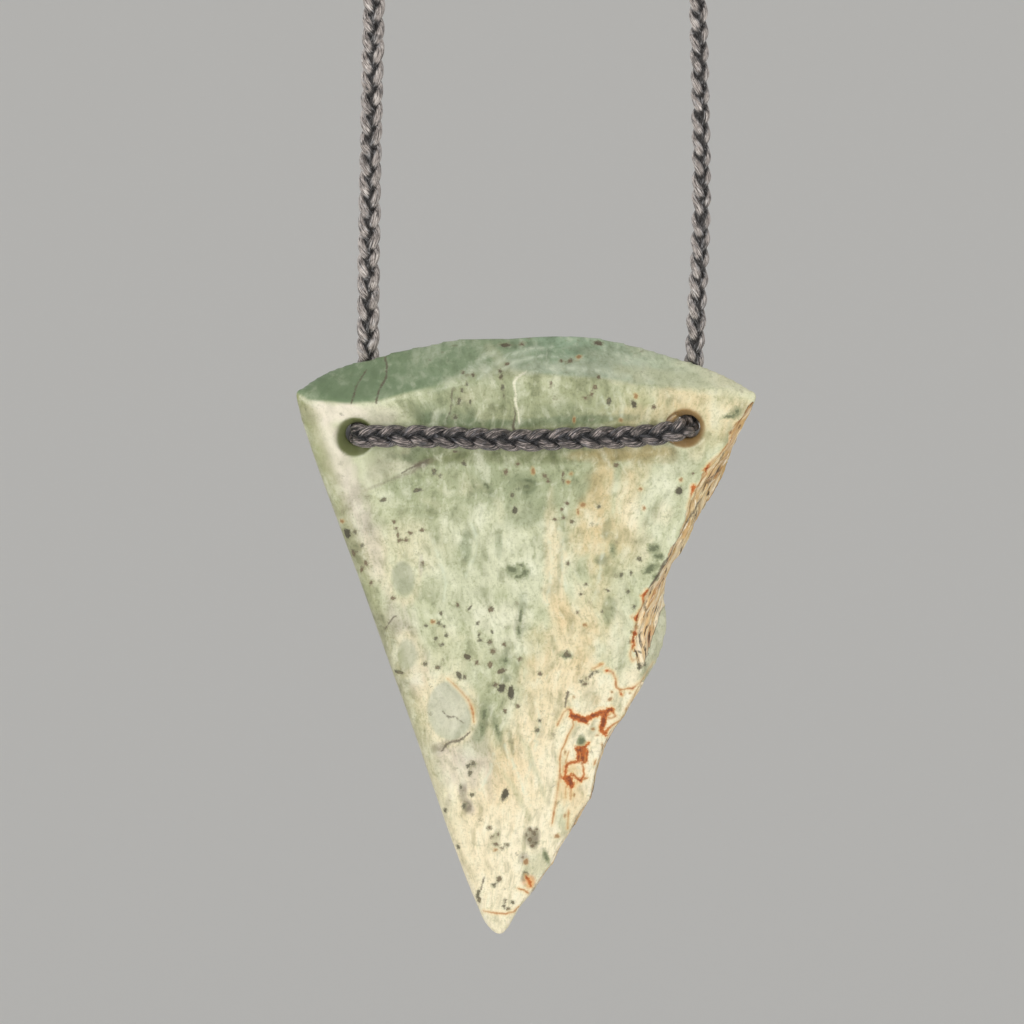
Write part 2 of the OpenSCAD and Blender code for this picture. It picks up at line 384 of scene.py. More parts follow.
def tube_faces(first, rings):
    """The faces of a closed tube, whose vertices are counted from first, ring after ring."""
    index = first + np.arange(rings * STRAND_SIDES).reshape(rings, STRAND_SIDES)
    after = np.roll(index, -1, axis=1)
    quads = np.stack([index[:-1], after[:-1], after[1:], index[1:]], axis=2).reshape(-1, 4)
    return [*quads.tolist(), index[0][::-1].tolist(), index[-1].tolist()]


def fibre_map(along, shift):
    """For each corner of a strand's faces: turns round the strand, and millimetres along it."""
    column = np.arange(STRAND_SIDES) / STRAND_SIDES
    u = np.stack([column, column + 1 / STRAND_SIDES, column + 1 / STRAND_SIDES, column], axis=1)
    v = np.stack([along[:-1], along[:-1], along[1:], along[1:]], axis=1)
    around = np.concatenate([np.tile(u, (len(along) - 1, 1)).reshape(-1), column, column])
    ends = np.repeat([along[0], along[-1]], STRAND_SIDES)
    lengths = np.concatenate([np.repeat(v, STRAND_SIDES, axis=0).reshape(-1) + shift, ends])
    return np.stack([around + lengths * FIBRE_TWIST, lengths * 1000], axis=1)


def build_cord():
    """The whole cord, plaited of its strands along the route."""
    line, along, place = smooth_route()
    way, side = carried_frames(line)
    turn = np.radians(np.interp(place, *zip(*PLAIT_TURN)))[:, None]
    face = side * np.cos(turn) + np.cross(way, side) * np.sin(turn)
    across = np.cross(way, face)
    spread = np.interp(place, *zip(*PLAIT_WIDTH))
    vertices, faces, fibres, crown = [], [], [], []
    draws = np.random.default_rng(CORD_SEED)
    for strand in range(PLAIT_STRANDS):
        rings = strand_rings(line, along, across, face, spread, strand / PLAIT_STRANDS, draws)
        vertices.append(rings.reshape(-1, 3))
        faces.extend(tube_faces(strand * len(line) * STRAND_SIDES, len(line)))
        fibres.append(fibre_map(along, strand * FIBRE_SHIFT))
        # How far out each point lies; the material darkens the low points as painted shade between the
        # strands
        crown.append(np.linalg.norm(rings - line[:, None], axis=2).reshape(-1) / (CORD_D / 2))
    mesh = bpy.data.meshes.new("braided_cord")
    mesh.from_pydata(np.vstack(vertices).tolist(), [], faces)
    fibre_layer = mesh.uv_layers.new(name="fibres")
    fibre_layer.data.foreach_set("uv", np.vstack(fibres).astype(np.float32).ravel())
    note(mesh, "crown", np.concatenate(crown))
    begin, end = SHADED_FRONT_STRETCH
    # How far each ring lies in the front stretch, where the fibre gets its painted shade
    front = np.interp(place, (begin - FRONT_SHADE_FADE, begin, end, end + FRONT_SHADE_FADE), (0, 1, 1, 0))
    note(mesh, "front", np.tile(np.repeat(front, STRAND_SIDES), PLAIT_STRANDS))
    smooth_all_over(mesh)
    cord = bpy.data.objects.new("braided_cord", mesh)
    bpy.context.scene.collection.objects.link(cord)
    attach(cord, "root")
    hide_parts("cord")
    return cord


def waxed_fibre():
    """Dark waxed fibre: fine filaments along each strand, paler where the cord hangs free and darker across
    the front by painted shade.
    """
    material, tree, shader = new_finish("waxed_fibre")
    uv = add(tree, "UVMap", uv_map="fibres").outputs["UV"]
    hairs = clouds(tree, stretched(tree, uv, (22, 0.9, 1)), 1.0, detail=3, roughness=0.75, distortion=0.4)
    tufts = clouds(tree, stretched(tree, uv, (8, 0.9, 1)), 1.0, detail=3, roughness=0.65, distortion=0.6)
    patches = clouds(tree, object_pattern(tree), 700, detail=3)
    crown = between(tree, named(tree, "crown"), 0.40, 1.0)
    front = named(tree, "front")
    # Each tone goes from its free copy to its darker copy of painted shade across the front
    deep, body, light, cool = (layer(tree, rgba(*hanging), rgba(*in_front), front)
                               for hanging, in_front in FIBRE_TONES.values())
    # Painted shade in the gaps between the strands, where the crown is low
    colour = layer(tree, deep, body, between(tree, crown, 0.30, 0.85))
    colour = layer(tree, colour, cool, between(tree, tufts, 0.52, 0.64, 0, 0.6))
    colour = layer(tree, colour, deep, between(tree, hairs, 0.50, 0.38, 0, 0.95))
    # Pale filaments, brightest on the strands' crowns, where they are partly a painted highlight
    streaks = product(tree, between(tree, hairs, 0.51, 0.65), between(tree, crown, 0.2, 0.7, 0.05, 1))
    colour = layer(tree, colour, light, product(tree, streaks, 0.75))
    colour = layer(tree, colour, deep, between(tree, patches, 0.54, 0.70, 0.0, 0.6))
    height = sum_of(tree, hairs, product(tree, tufts, 1.2))
    give(tree, shader, {
        "Base Color": colour,
        "Roughness": 0.42,
        "Specular IOR Level": 0.5,
        "Sheen Weight": 0.15,
        "Sheen Roughness": 0.4,
        "Normal": bumps(tree, height, 0.0003, 1.0),
    })
    return material


# The join at the nape

THREAD_D = 0.00052
THREAD_TURNS = 29
# How far the first and last turns lie from the sleeve's ends, and how far the sleeve's rims are rounded
THREAD_MARGIN = 0.0009
SLEEVE_ROUNDING = 0.0006
# The thread's colours, as they look, from 0 to 255
THREAD_DARK = (44, 38, 40)
THREAD_LIGHT = (120, 108, 104)
THREAD_WORN = (62, 54, 58)


def work_on(*pieces):
    """Selects some pieces alone, and makes the last one active."""
    bpy.ops.object.select_all(action="DESELECT")
    for piece in pieces:
        piece.select_set(True)
        bpy.context.view_layer.objects.active = piece


def shape_with(piece, kind, **settings):
    """Adds a modifier to a piece and applies it."""
    work_on(piece)
    modifier = piece.modifiers.new(kind.lower(), kind)
    for name, value in settings.items():
        setattr(modifier, name, value)
    bpy.ops.object.modifier_apply(modifier=modifier.name)


def settle(piece):
    """Leaves the piece's object at the origin, with its place in its mesh."""
    work_on(piece)
    bpy.ops.object.transform_apply(location=True, rotation=True, scale=True)


def build_join():
    """A short sleeve that is whipped with thread from end to end."""
    low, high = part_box("cord_join")
    middle = (low + high) / 2
    length = high.x - low.x
    radius = (high.z - low.z) / 2 - THREAD_D / 2
    across = (0, math.pi / 2, 0)
    bpy.ops.object.select_all(action="DESELECT")
    bpy.ops.mesh.primitive_cylinder_add(vertices=40, radius=radius, depth=length, location=middle,
                                        rotation=across)
    sleeve = bpy.context.object
    sleeve.name = "whipped_join"
    settle(sleeve)
    shape_with(sleeve, "BEVEL", width=SLEEVE_ROUNDING, segments=4, limit_method="ANGLE")
    pitch = (length - 2 * THREAD_MARGIN) / (THREAD_TURNS - 1)
    bpy.ops.mesh.primitive_torus_add(major_segments=48, minor_segments=10, major_radius=radius,
                                     minor_radius=THREAD_D / 2, rotation=across,
                                     location=(low.x + THREAD_MARGIN, middle.y, middle.z))
    thread = bpy.context.object
    settle(thread)
    shape_with(thread, "ARRAY", count=THREAD_TURNS, use_relative_offset=False, use_constant_offset=True,
               constant_offset_displace=(pitch, 0, 0))
    work_on(thread, sleeve)
    bpy.ops.object.join()
    sleeve.data.materials.clear()
    bpy.ops.object.shade_smooth_by_angle(angle=math.radians(40))
    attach(sleeve, "root")
    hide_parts("cord_join")
    return sleeve


def whipping_thread():
    """Dark waxed thread: fine twisted filaments round the sleeve."""
    material, tree, shader = new_finish("whipping_thread")
    strands = clouds(tree, object_pattern(tree, scale=(1, 0.35, 0.35)), 5200, detail=3)
    patches = clouds(tree, object_pattern(tree), 600, detail=2)
    colour = layer(tree, rgba(*THREAD_DARK), rgba(*THREAD_LIGHT), between(tree, strands, 0.42, 0.68))
    colour = layer(tree, colour, rgba(*THREAD_WORN), between(tree, patches, 0.45, 0.7, 0, 0.6))
    give(tree, shader, {
        "Base Color": colour,
        "Roughness": 0.55,
        "Specular IOR Level": 0.4,
        "Normal": bumps(tree, strands, 0.00012, 0.8),
    })
    return material


# The jade

# The spacing of the skin's even grid, and how often its facets are rubbed down
EVEN_GRID = 0.00054
SOFTEN_PASSES = 22
# Faces that look further back than this share are left with the plain grid
LOOKS_BACK = 0.4
# The holes' places in the photograph, their mouths' radius and the lip round them, all in pixels
HOLE_PLACES = [(355, 437), (685, 428)]
HOLE_MOUTH = 19
HOLE_LIP = 3
# How far the holes draw in towards their middle, and the room that is left round the cord
HOLE_WAIST = 0.0012
HOLE_ROOM = 0.00025
# Sharp corners, which are rubbed the least
CORNER_PLACES = [(297, 396), (756, 397), (500, 934)]
# How far the outline's pull reaches inwards and the steps along the table below, in pixels, and the pull of
# staying put
LET_OUT_REACH = 15
LET_OUT_STEP = 6
LET_OUT_HOLD = 1.5
# How far the polished outline stands out from the solid's: place in the photograph, then right and down,
# all in pixels
LET_OUT = [
    (297, 396, 1, 0), (305, 384, -4.5, -5.5), (318, 375, -2, -7), (336, 368, 0, -2.5), (350, 362, 0, -1),
    (392, 349, 0, -5.5), (420, 345, 0, -6), (445, 342, 0, -4), (480, 338, 0, -2), (510, 337, 0, -0.5),
    (536, 336, 0, -3), (570, 337, 0, -4), (610, 341, 0, -4), (640, 348, 0, -2), (670, 358, 0, -1),
    (712, 371, 0, -3), (735, 379, 0, -3.5), (752, 388, -1.5, -2), (756, 400, 1, 0), (742, 425, 3, 0),
    (728, 460, 4, 0), (712, 488, 4, 0), (695, 522, 1.5, 0), (682, 550, 0.5, 0), (672, 562, -2.5, 0),
    (664, 582, 3, 0), (666, 618, 0.9, 0), (660, 650, 2.5, 0), (645, 676, 2.8, 0), (628, 705, 2.5, 0),
    (608, 740, 0, 0), (598, 770, 2, 0), (590, 798, 2.3, 0), (572, 830, -0.6, 0), (550, 868, 1.4, 0),
    (536, 888, 2.2, 0), (515, 912, 0.5, 0), (500, 934, 0, -2), (486, 908, -0.8, 0), (480, 885, -2.6, 0),
    (470, 850, -3.4, 0), (458, 818, -3.8, 0), (446, 784, -3, 0), (428, 740, -2.2, 0), (408, 690, -2, 0),
    (380, 622, -1.6, 0), (352, 553, -1.5, 0), (330, 495, -2.2, 0), (312, 448, -2.8, 0), (302, 420, -2.2, 0),
]
# The random values that swells are read from, a cube of so many each way, how much fainter each finer
# octave is, and how far it is shifted
LATTICE = 48
SWELL_FADE = 1.7
OCTAVE_SHIFT = 17.3


def photo_place(points):
    """Where points on the piece show in the photograph, in its pixels."""
    ray = points - np.array([EYE_X, EYE_Y, EYE_Z]) * MM
    scale = (FRONT_Y - EYE_Y) * PIXELS_PER_MM / ray[:, 1:2]
    half = PHOTO_PIXELS / 2
    return np.stack([half + ray[:, 0] * scale[:, 0], half - ray[:, 2] * scale[:, 0]], axis=1)


def swells(points, size, seed, octaves=3):
    """Soft random swells over a set of points, from about -1 to 1, the widest of the given size."""
    total = np.zeros(len(points))
    for octave in range(octaves):
        grid = points / size * 2 ** octave + OCTAVE_SHIFT * octave
        cell = np.floor(grid).astype(int)
        part = grid - cell
        part = part * part * (3 - 2 * part)
        lattice = np.random.default_rng(seed + octave).uniform(-1, 1, (LATTICE, LATTICE, LATTICE))
        for corner in np.ndindex(2, 2, 2):
            at = (cell + corner) % LATTICE
            weight = np.prod(np.where(corner, part, 1 - part), axis=1)
            total += weight * lattice[at[:, 0], at[:, 1], at[:, 2]] / SWELL_FADE ** octave
    return total


def let_out(points):
    """Moves the points near the outline out to where the photograph shows it."""
    place = photo_place(points)
    table = np.array([*LET_OUT, LET_OUT[0]], float)
    along = np.concatenate([[0], np.cumsum(np.hypot(*np.diff(table[:, :2], axis=0).T))])
    even = np.arange(0, along[-1], LET_OUT_STEP)
    pull = np.zeros_like(place)
    total = np.full(len(place), LET_OUT_HOLD)
    for x, y, right, down in np.stack([np.interp(even, along, column) for column in table.T], axis=1):
        near = np.exp(-((place - (x, y)) ** 2).sum(axis=1) / (2 * LET_OUT_REACH ** 2))
        pull += near[:, None] * (right, down)
        total += near
    full = LET_OUT_REACH * math.sqrt(2 * math.pi) / LET_OUT_STEP
    pull *= (1 + LET_OUT_HOLD / full) / total[:, None] / PIXELS_PER_MM * MM
    points[:, 0] += pull[:, 0]
    points[:, 2] -= pull[:, 1]


def nearest_of(place, spots):
    """How far each place is from the nearest of some spots, in pixels."""
    return np.min([np.hypot(*(place - spot).T) for spot in spots], axis=0)


def free_to_rub(place):
    """How much each point may be rubbed down: little at the mouths of the holes and at the corners."""
    by_mouths = (nearest_of(place, HOLE_PLACES) - HOLE_MOUTH - HOLE_LIP) / 10
    by_corners = 0.40 + nearest_of(place, CORNER_PLACES) / 16
    return np.clip(np.minimum(by_mouths, by_corners), 0.10, 1)


def carve_stone():
    """The solid's skin as an even grid, finer where it shows best, with its last flat facets rubbed out."""
    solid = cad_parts["pendant_stone"]
    stone = bpy.data.objects.new("jade_tooth", solid.data.copy())
    bpy.context.scene.collection.objects.link(stone)
    stone.data.materials.clear()
    work_on(stone)
    bpy.ops.object.mode_set(mode="EDIT")
    bpy.ops.mesh.select_all(action="SELECT")
    bpy.ops.mesh.remove_doubles(threshold=1e-6)
    bpy.ops.object.mode_set(mode="OBJECT")
    shape_with(stone, "REMESH", mode="VOXEL", voxel_size=EVEN_GRID)
    shape_with(stone, "SHRINKWRAP", target=solid, wrap_method="NEAREST_SURFACEPOINT")
    work_on(stone)
    bpy.ops.object.mode_set(mode="EDIT")
    bpy.ops.mesh.select_all(action="DESELECT")
    bpy.ops.object.mode_set(mode="OBJECT")
    facing = rows_of(stone.data.polygons, "normal")
    stone.data.polygons.foreach_set("select", facing[:, 1] < LOOKS_BACK)
    bpy.ops.object.mode_set(mode="EDIT")
    bpy.ops.mesh.select_mode(type="FACE")
    bpy.ops.mesh.subdivide(number_cuts=1)
    bpy.ops.object.mode_set(mode="OBJECT")
    shape_with(stone, "SHRINKWRAP", target=solid, wrap_method="NEAREST_SURFACEPOINT")
    group = stone.vertex_groups.new(name="rubbed")
    for index, weight in enumerate(free_to_rub(photo_place(rows_of(stone.data.vertices, "co")))):
        group.add([index], float(weight), "REPLACE")
    shape_with(stone, "SMOOTH", factor=0.5, iterations=SOFTEN_PASSES, vertex_group="rubbed")
    stone.vertex_groups.clear()
    points = rows_of(stone.data.vertices, "co")
    let_out(points)
    put_points(stone.data, points)
    return stone


# Colours of the jade and of the marks in it, and of the painted shade and highlights laid on it: red, green
# and blue as they look, from 0 to 255
TONES = {
    "ivory": (252, 244, 214),
    "cream": (238, 230, 196),
    "warm_cream": (244, 228, 188),
    "tan": (232, 208, 158),
    "sheen_cream": (240, 234, 216),
    "pink_grey": (206, 198, 184),
    "mauve": (160, 146, 142),
    "whitish": (226, 230, 202),
    "pale_green": (206, 212, 176),
    "sage": (180, 188, 150),
    "green": (156, 168, 130),
    "leaf": (120, 138, 104),
    "dark_green": (98, 112, 78),
    "rim_shade_olive": (160, 164, 118),
    "olive_cream": (196, 196, 150),
    "ridge_sheen": (186, 198, 172),
    "orb": (192, 195, 168),
    "orb_dark": (174, 179, 152),
    "orb_pale": (201, 204, 183),
    "bore_tan": (178, 148, 102),
    "shade_olive": (128, 136, 92),
    "orange": (216, 136, 50),
    "grey_speckle": (124, 115, 96),
    "bloom": (238, 238, 214),
    "rim_green": (208, 210, 178),
    "hole_depth_shade": (52, 46, 34),
    "olive_sage": (170, 177, 138),
    "ochre_shade": (178, 164, 114),
    "grey_cream": (200, 198, 176),
    "mauve_dark": (126, 114, 98),
    "wedge_green": (112, 124, 86),
    "body_shade": (176, 180, 162),
    "stroke_shade": (206, 210, 190),
    "fine_shade": (200, 204, 186),
    "grit_shade": (204, 206, 192),
    "pepper": (116, 110, 82),
    "torn_cream": (232, 212, 170),
    "low_cream": (246, 230, 196),
    "torn_gold": (206, 170, 114),
    "low_gold": (228, 198, 148),
    "torn_brown": (172, 118, 62),
    "low_brown": (204, 148, 88),
    "torn_mauve": (214, 196, 180),
    "torn_groove": (74, 54, 34),
    "torn_crest_highlight": (254, 244, 220),
    "wisp_and_sheen": (222, 228, 204),
    "blotch_halo": (140, 147, 108),
    "blotch": (88, 95, 68),
    "ledge_highlight": (238, 234, 208),
    "crack": (98, 88, 70),
    "speck_halo": (150, 148, 112),
    "speck_olive": (88, 85, 66),
    "speck_brown": (104, 86, 64),
    "speck_core": (152, 142, 106),
    "speck_large": (54, 50, 36),
    "freckle_halo": (206, 174, 118),
    "freckle": (142, 98, 54),
    "thin_stain": (226, 200, 148),
    "thick_stain": (234, 192, 124),
    "thin_rust": (184, 128, 70),
    "thick_rust": (198, 122, 56),
    "deep_rust": (182, 96, 36),
    "burnt_rust": (116, 56, 26),
    "rust_gold": (218, 146, 76),
}

# What the lamps and the mottling leave to be taken back in red, green and blue
TINT_BALANCE = (0.90, 0.872, 0.849)

# Broad patches of colour on the face, among them a painted sheen by the left edge: tone, place in the
# photograph's pixels, half width, half height, turn in degrees, strength
FACE_CLOUDS = [
    ("green", 500, 470, 110, 50, 0, 0.7),
    ("sage", 430, 520, 60, 50, 0, 0.5),
    ("whitish", 480, 560, 110, 50, 0, 0.65),
    ("olive_sage", 575, 402, 82, 32, 0, 0.85),
    ("olive_sage", 465, 404, 44, 26, 0, 0.8),
    ("green", 425, 402, 24, 16, 0, 0.4),
    ("pale_green", 484, 400, 12, 18, 10, 0.5),
    ("sage", 528, 394, 10, 12, 0, 0.6),
    ("olive_cream", 640, 404, 28, 26, 0, 0.75),
    ("tan", 684, 402, 26, 18, 0, 0.7),
    ("warm_cream", 720, 412, 36, 28, 20, 0.7),
    ("tan", 700, 430, 26, 24, 0, 0.4),
    ("dark_green", 733, 413, 9, 6, -20, 0.5),
    ("green", 408, 486, 22, 18, 0, 0.55),
    # Painted highlight: the sheen of a broad lamp below the upper left ridge and down the left edge
    ("sheen_cream", 333, 411, 30, 9, 0, 0.95),
    ("sheen_cream", 374, 413, 30, 9, 0, 0.5),
    ("sheen_cream", 342, 474, 13, 84, -21, 0.85),
    ("grey_cream", 388, 468, 36, 14, -12, 0.6),
    ("pink_grey", 362, 528, 20, 60, -19, 0.55),
    ("cream", 405, 548, 34, 30, 0, 0.45),
    ("dark_green", 523, 487, 15, 9, 20, 0.4),
    ("dark_green", 490, 492, 6, 16, -20, 0.3),
    ("green", 528, 505, 22, 24, 0, 0.5),
    ("sage", 604, 468, 44, 14, 0, 0.4),
    ("sage", 573, 500, 14, 40, 5, 0.3),
    ("tan", 597, 522, 21, 46, 6, 0.7),
    ("warm_cream", 628, 512, 12, 38, 0, 0.7),
    ("tan", 642, 470, 12, 24, 0, 0.35),
    ("whitish", 668, 490, 24, 60, 18, 0.75),
    ("cream", 640, 545, 14, 28, 0, 0.5),
    ("sage", 624, 570, 12, 44, 4, 0.5),
    ("olive_cream", 610, 586, 20, 40, 0, 0.5),
    ("sage", 470, 560, 18, 26, 20, 0.5),
    ("sage", 498, 595, 20, 12, 0, 0.4),
    ("warm_cream", 556, 575, 9, 60, -5, 0.6),
    ("pale_green", 505, 636, 60, 30, 0, 0.7),
    ("whitish", 490, 614, 46, 24, 0, 0.75),
    ("whitish", 500, 642, 30, 12, 0, 0.4),
    ("cream", 378, 565, 12, 36, -19, 0.6),
    ("ivory", 634, 676, 18, 22, 0, 0.7),
    ("warm_cream", 575, 640, 34, 56, 8, 0.7),
    ("tan", 585, 660, 12, 30, 10, 0.4),
    ("whitish", 624, 640, 10, 60, 0, 0.6),
    ("sage", 600, 648, 14, 7, 0, 0.3),
    ("sage", 450, 625, 44, 34, 0, 0.35),
    ("pink_grey", 398, 640, 22, 60, -18, 0.55),
    ("warm_cream", 424, 700, 10, 40, -12, 0.55),
    ("sage", 505, 680, 34, 34, 0, 0.6),
    ("warm_cream", 546, 700, 22, 70, 14, 0.7),
    ("sage", 490, 728, 17, 40, -10, 0.8),
    ("ivory", 610, 700, 30, 40, 0, 0.7),
    ("ivory", 566, 790, 30, 60, 10, 0.6),
    ("mauve", 447, 746, 20, 7, -28, 0.5),
    ("pink_grey", 432, 752, 14, 22, -20, 0.3),
    ("warm_cream", 490, 786, 36, 44, 0, 0.65),
    ("tan", 505, 770, 16, 36, 18, 0.35),
    ("pink_grey", 472, 762, 16, 34, -18, 0.6),
    ("tan", 573, 800, 12, 28, 4, 0.5),
    ("mauve", 463, 789, 4, 10, 0, 0.6),
    ("leaf", 478, 392, 40, 14, 0, 0.25),
    ("warm_cream", 650, 413, 32, 10, 0, 0.4),
    ("cream", 664, 395, 34, 8, 6, 0.5),
    ("tan", 612, 536, 26, 24, 0, 0.4),
    ("tan", 560, 612, 10, 16, 0, 0.35),
    ("sage", 440, 548, 18, 12, 0, 0.3),
    ("sage", 404, 510, 16, 16, 0, 0.3),
    ("mauve", 468, 806, 5, 9, -10, 0.7),
    ("warm_cream", 470, 850, 30, 44, -20, 0.4),
    ("sage", 513, 795, 26, 3, 60, 0.4),
    ("sage", 528, 760, 30, 3, 68, 0.45),
    ("pale_green", 561, 821, 9, 12, 0, 0.6),
    ("sage", 537, 861, 15, 13, 0, 0.45),
    ("mauve", 523, 857, 5, 5, 0, 0.5),
]

# Small smudges with a firmer place, as above, and painted shade along the cord above and below it
SMUDGES_AND_CORD_SHADE = [
    # Painted shade under and above the cord
    ("shade_olive", 425, 456, 32, 8, 0, 0.5),
    ("shade_olive", 505, 457, 56, 8, 0, 0.6),
    ("shade_olive", 570, 456, 44, 7, 0, 0.55),
    ("ochre_shade", 632, 453, 48, 8, -4, 0.8),
    ("leaf", 446, 419, 28, 9, 0, 0.75),
    ("grey_cream", 376, 424, 26, 10, 0, 0.4),
    ("sage", 410, 486, 28, 18, 0, 0.35),
    ("sage", 566, 514, 10, 20, 0, 0.3),
    ("tan", 536, 646, 12, 18, 0, 0.4),
    ("sage", 473, 677, 14, 16, 0, 0.5),
    ("grey_cream", 472, 742, 14, 16, 0, 0.5),
    ("pink_grey", 446, 772, 14, 22, -20, 0.5),
    # Painted shade along the cord
    ("leaf", 574, 420, 22, 6, 0, 0.35),
    ("ochre_shade", 604, 455, 34, 7, 0, 0.5),
    ("ochre_shade", 655, 457, 34, 8, -3, 0.5),
    ("mauve_dark", 424, 463, 14, 3.6, -24, 0.8),
    ("mauve_dark", 403, 475, 16, 2.4, -20, 0.6),
    ("mauve_dark", 376, 486, 13, 1.8, -22, 0.4),
    # Painted shade along the cord
    ("leaf", 416, 455, 24, 7, -8, 0.5),
    ("leaf", 460, 424, 60, 4, 0, 0.5),
    ("leaf", 560, 421, 70, 4, -3, 0.5),
    ("leaf", 519, 572, 13, 9, 0, 0.5),
    ("dark_green", 514, 570, 6, 4.4, 30, 0.4),
    ("dark_green", 525, 573, 5, 3.4, -10, 0.35),
    ("wedge_green", 581.5, 742, 4.2, 7, 0, 0.95),
    ("dark_green", 527, 486, 9, 6, 0, 0.6),
    ("dark_green", 487, 488, 2.4, 9, -26, 0.6),
    ("leaf", 607, 528, 5, 14, 8, 0.5),
    ("leaf", 601, 559, 7, 5, 0, 0.5),
    ("leaf", 613, 552, 4, 9, -8, 0.4),
    ("leaf", 608, 610, 6, 14, 6, 0.5),
    ("leaf", 560, 566, 2.4, 20, 3, 0.35),
    ("leaf", 467, 547, 6, 16, 0, 0.45),
    ("leaf", 422, 508, 2, 14, 0, 0.3),
    ("sage", 421, 508, 11, 13, 0, 0.6),
    ("mauve", 421, 565, 2.4, 12, 0, 0.5),
    ("dark_green", 654, 549, 6, 6, 0, 0.5),
    ("dark_green", 658, 557, 7, 2.6, 10, 0.6),
    ("dark_green", 652, 568, 8, 5, -25, 0.55),
    ("dark_green", 655, 577, 5, 4, 0, 0.55),
    ("whitish", 654, 562, 7, 1.8, -14, 0.4),
    ("dark_green", 520.5, 620, 5, 17, 4, 0.5),
    ("leaf", 523, 604, 5, 12, 0, 0.45),
    ("dark_green", 484, 716, 5, 13, 5, 0.45),
    ("dark_green", 497, 729, 4, 20, -18, 0.4),
    ("dark_green", 511, 742, 2, 12, -10, 0.5),
    ("leaf", 478, 733, 5, 9, 10, 0.6),
    ("dark_green", 546, 856, 3, 9, -20, 0.55),
    ("leaf", 499, 547, 4, 14, 0, 0.35),
    ("leaf", 566, 654, 9, 4, 0, 0.45),
    ("leaf", 505, 660, 5, 11, 10, 0.45),
    ("dark_green", 506, 678, 5, 4, 0, 0.5),
    ("tan", 574, 770, 7, 5, 0, 0.8),
    ("tan", 597, 700, 5, 5, 0, 0.4),
    ("grey_speckle", 443, 745, 13, 4, -24, 0.55),
    ("grey_speckle", 463, 789, 4.5, 10, 0, 0.8),
    ("grey_speckle", 468, 806, 4, 7, 0, 0.8),
    ("mauve", 448, 800, 3.5, 8, 10, 0.5),
    ("grey_speckle", 532.5, 837, 7, 11, -8, 0.75),
    ("mauve_dark", 532.5, 841, 5, 5, 0, 0.4),
    ("orange", 529, 882, 5.5, 5.5, 30, 0.65),
    ("grey_speckle", 525, 877, 3, 4, 30, 0.6),
    ("grey_speckle", 395, 628, 12, 14, -20, 0.25),
    ("grey_speckle", 372, 540, 7, 30, -18, 0.25),
    # Painted shade along the cord
    ("leaf", 436, 412, 22, 12, 0, 0.4),
    ("shade_olive", 442, 457, 22, 8, 0, 0.5),
    ("shade_olive", 470, 456, 18, 7, 0, 0.4),
    ("leaf", 562, 412, 22, 10, 0, 0.3),
    ("green", 404, 486, 18, 16, 0, 0.3),
    ("sage", 440, 486, 16, 14, 0, 0.35),
    ("sage", 440, 582, 14, 14, 0, 0.3),
    ("sage", 536, 644, 12, 14, 0, 0.35),
    ("tan", 570, 614, 12, 14, 0, 0.3),
    ("pink_grey", 408, 678, 14, 16, 0, 0.45),
    ("sage", 473, 676, 13, 13, 0, 0.35),
    ("olive_sage", 474, 742, 13, 15, 0, 0.35),
    ("pink_grey", 464, 774, 20, 18, 0, 0.45),
    ("tan", 569, 778, 12, 20, 0, 0.45),
    ("cream", 696, 452, 13, 12, 0, 0.4),
    ("ivory", 632, 514, 13, 15, 0, 0.45),
    ("ivory", 663, 514, 12, 14, 0, 0.4),
    ("bloom", 500, 616, 32, 18, 0, 0.4),
    ("bloom", 506, 646, 20, 12, 0, 0.3),
    # Painted highlight: the sheen down the left edge
    ("sheen_cream", 375, 562, 11, 28, -18, 0.45),
    ("ivory", 630, 676, 12, 13, 0, 0.4),
]
# Rounded nodules with a clean rim, as above without the strength
ORBS = [
    ("orb_dark", 403, 578, 12, 18, -4),
    ("orb", 407, 655, 9.5, 15, 0),
    ("orb_pale", 449.5, 711, 22.5, 29, -4),
]

# The bevelled top's own colour from left to right: place, then red, green and blue
FACET_TONES = [
    (300, 120, 143, 107), (390, 127, 149, 113), (440, 138, 159, 124), (500, 149, 168, 132),
    (560, 158, 184, 154), (620, 195, 213, 184), (680, 221, 229, 197), (720, 229, 229, 195),
    (756, 228, 230, 199),
]
# Patches on it, as on the face, and a painted highlight along the ridge
FACET_CLOUDS = [
    # Painted highlight along the ridge
    ("ridge_sheen", 596, 370, 84, 13, 3, 0.95),
    ("pale_green", 656, 377, 56, 10, 8, 0.8),
    ("leaf", 572, 353, 26, 6, -10, 0.3),
    ("ridge_sheen", 606, 357, 34, 9, 6, 0.7),
    ("leaf", 640, 352, 40, 7, 10, 0.35),
    ("dark_green", 516, 345, 22, 4, 0, 0.4),
    ("pale_green", 497, 356, 5, 14, -40, 0.45),
    ("pale_green", 462, 384, 16, 12, 0, 0.4),
]
# Where the bevelled top meets the face: place, then how softly
RIDGE = [
    (290, 390, 2), (308, 400, 2), (347, 403, 2), (376, 402, 2), (404, 394, 2.5), (426, 389, 4),
    (451, 385, 9), (480, 374, 13), (505, 364, 12), (512, 370, 3), (551, 374, 2.5), (598, 377, 2),
    (629, 382, 3), (676, 388, 5), (723, 394, 6), (757, 399, 6),
]

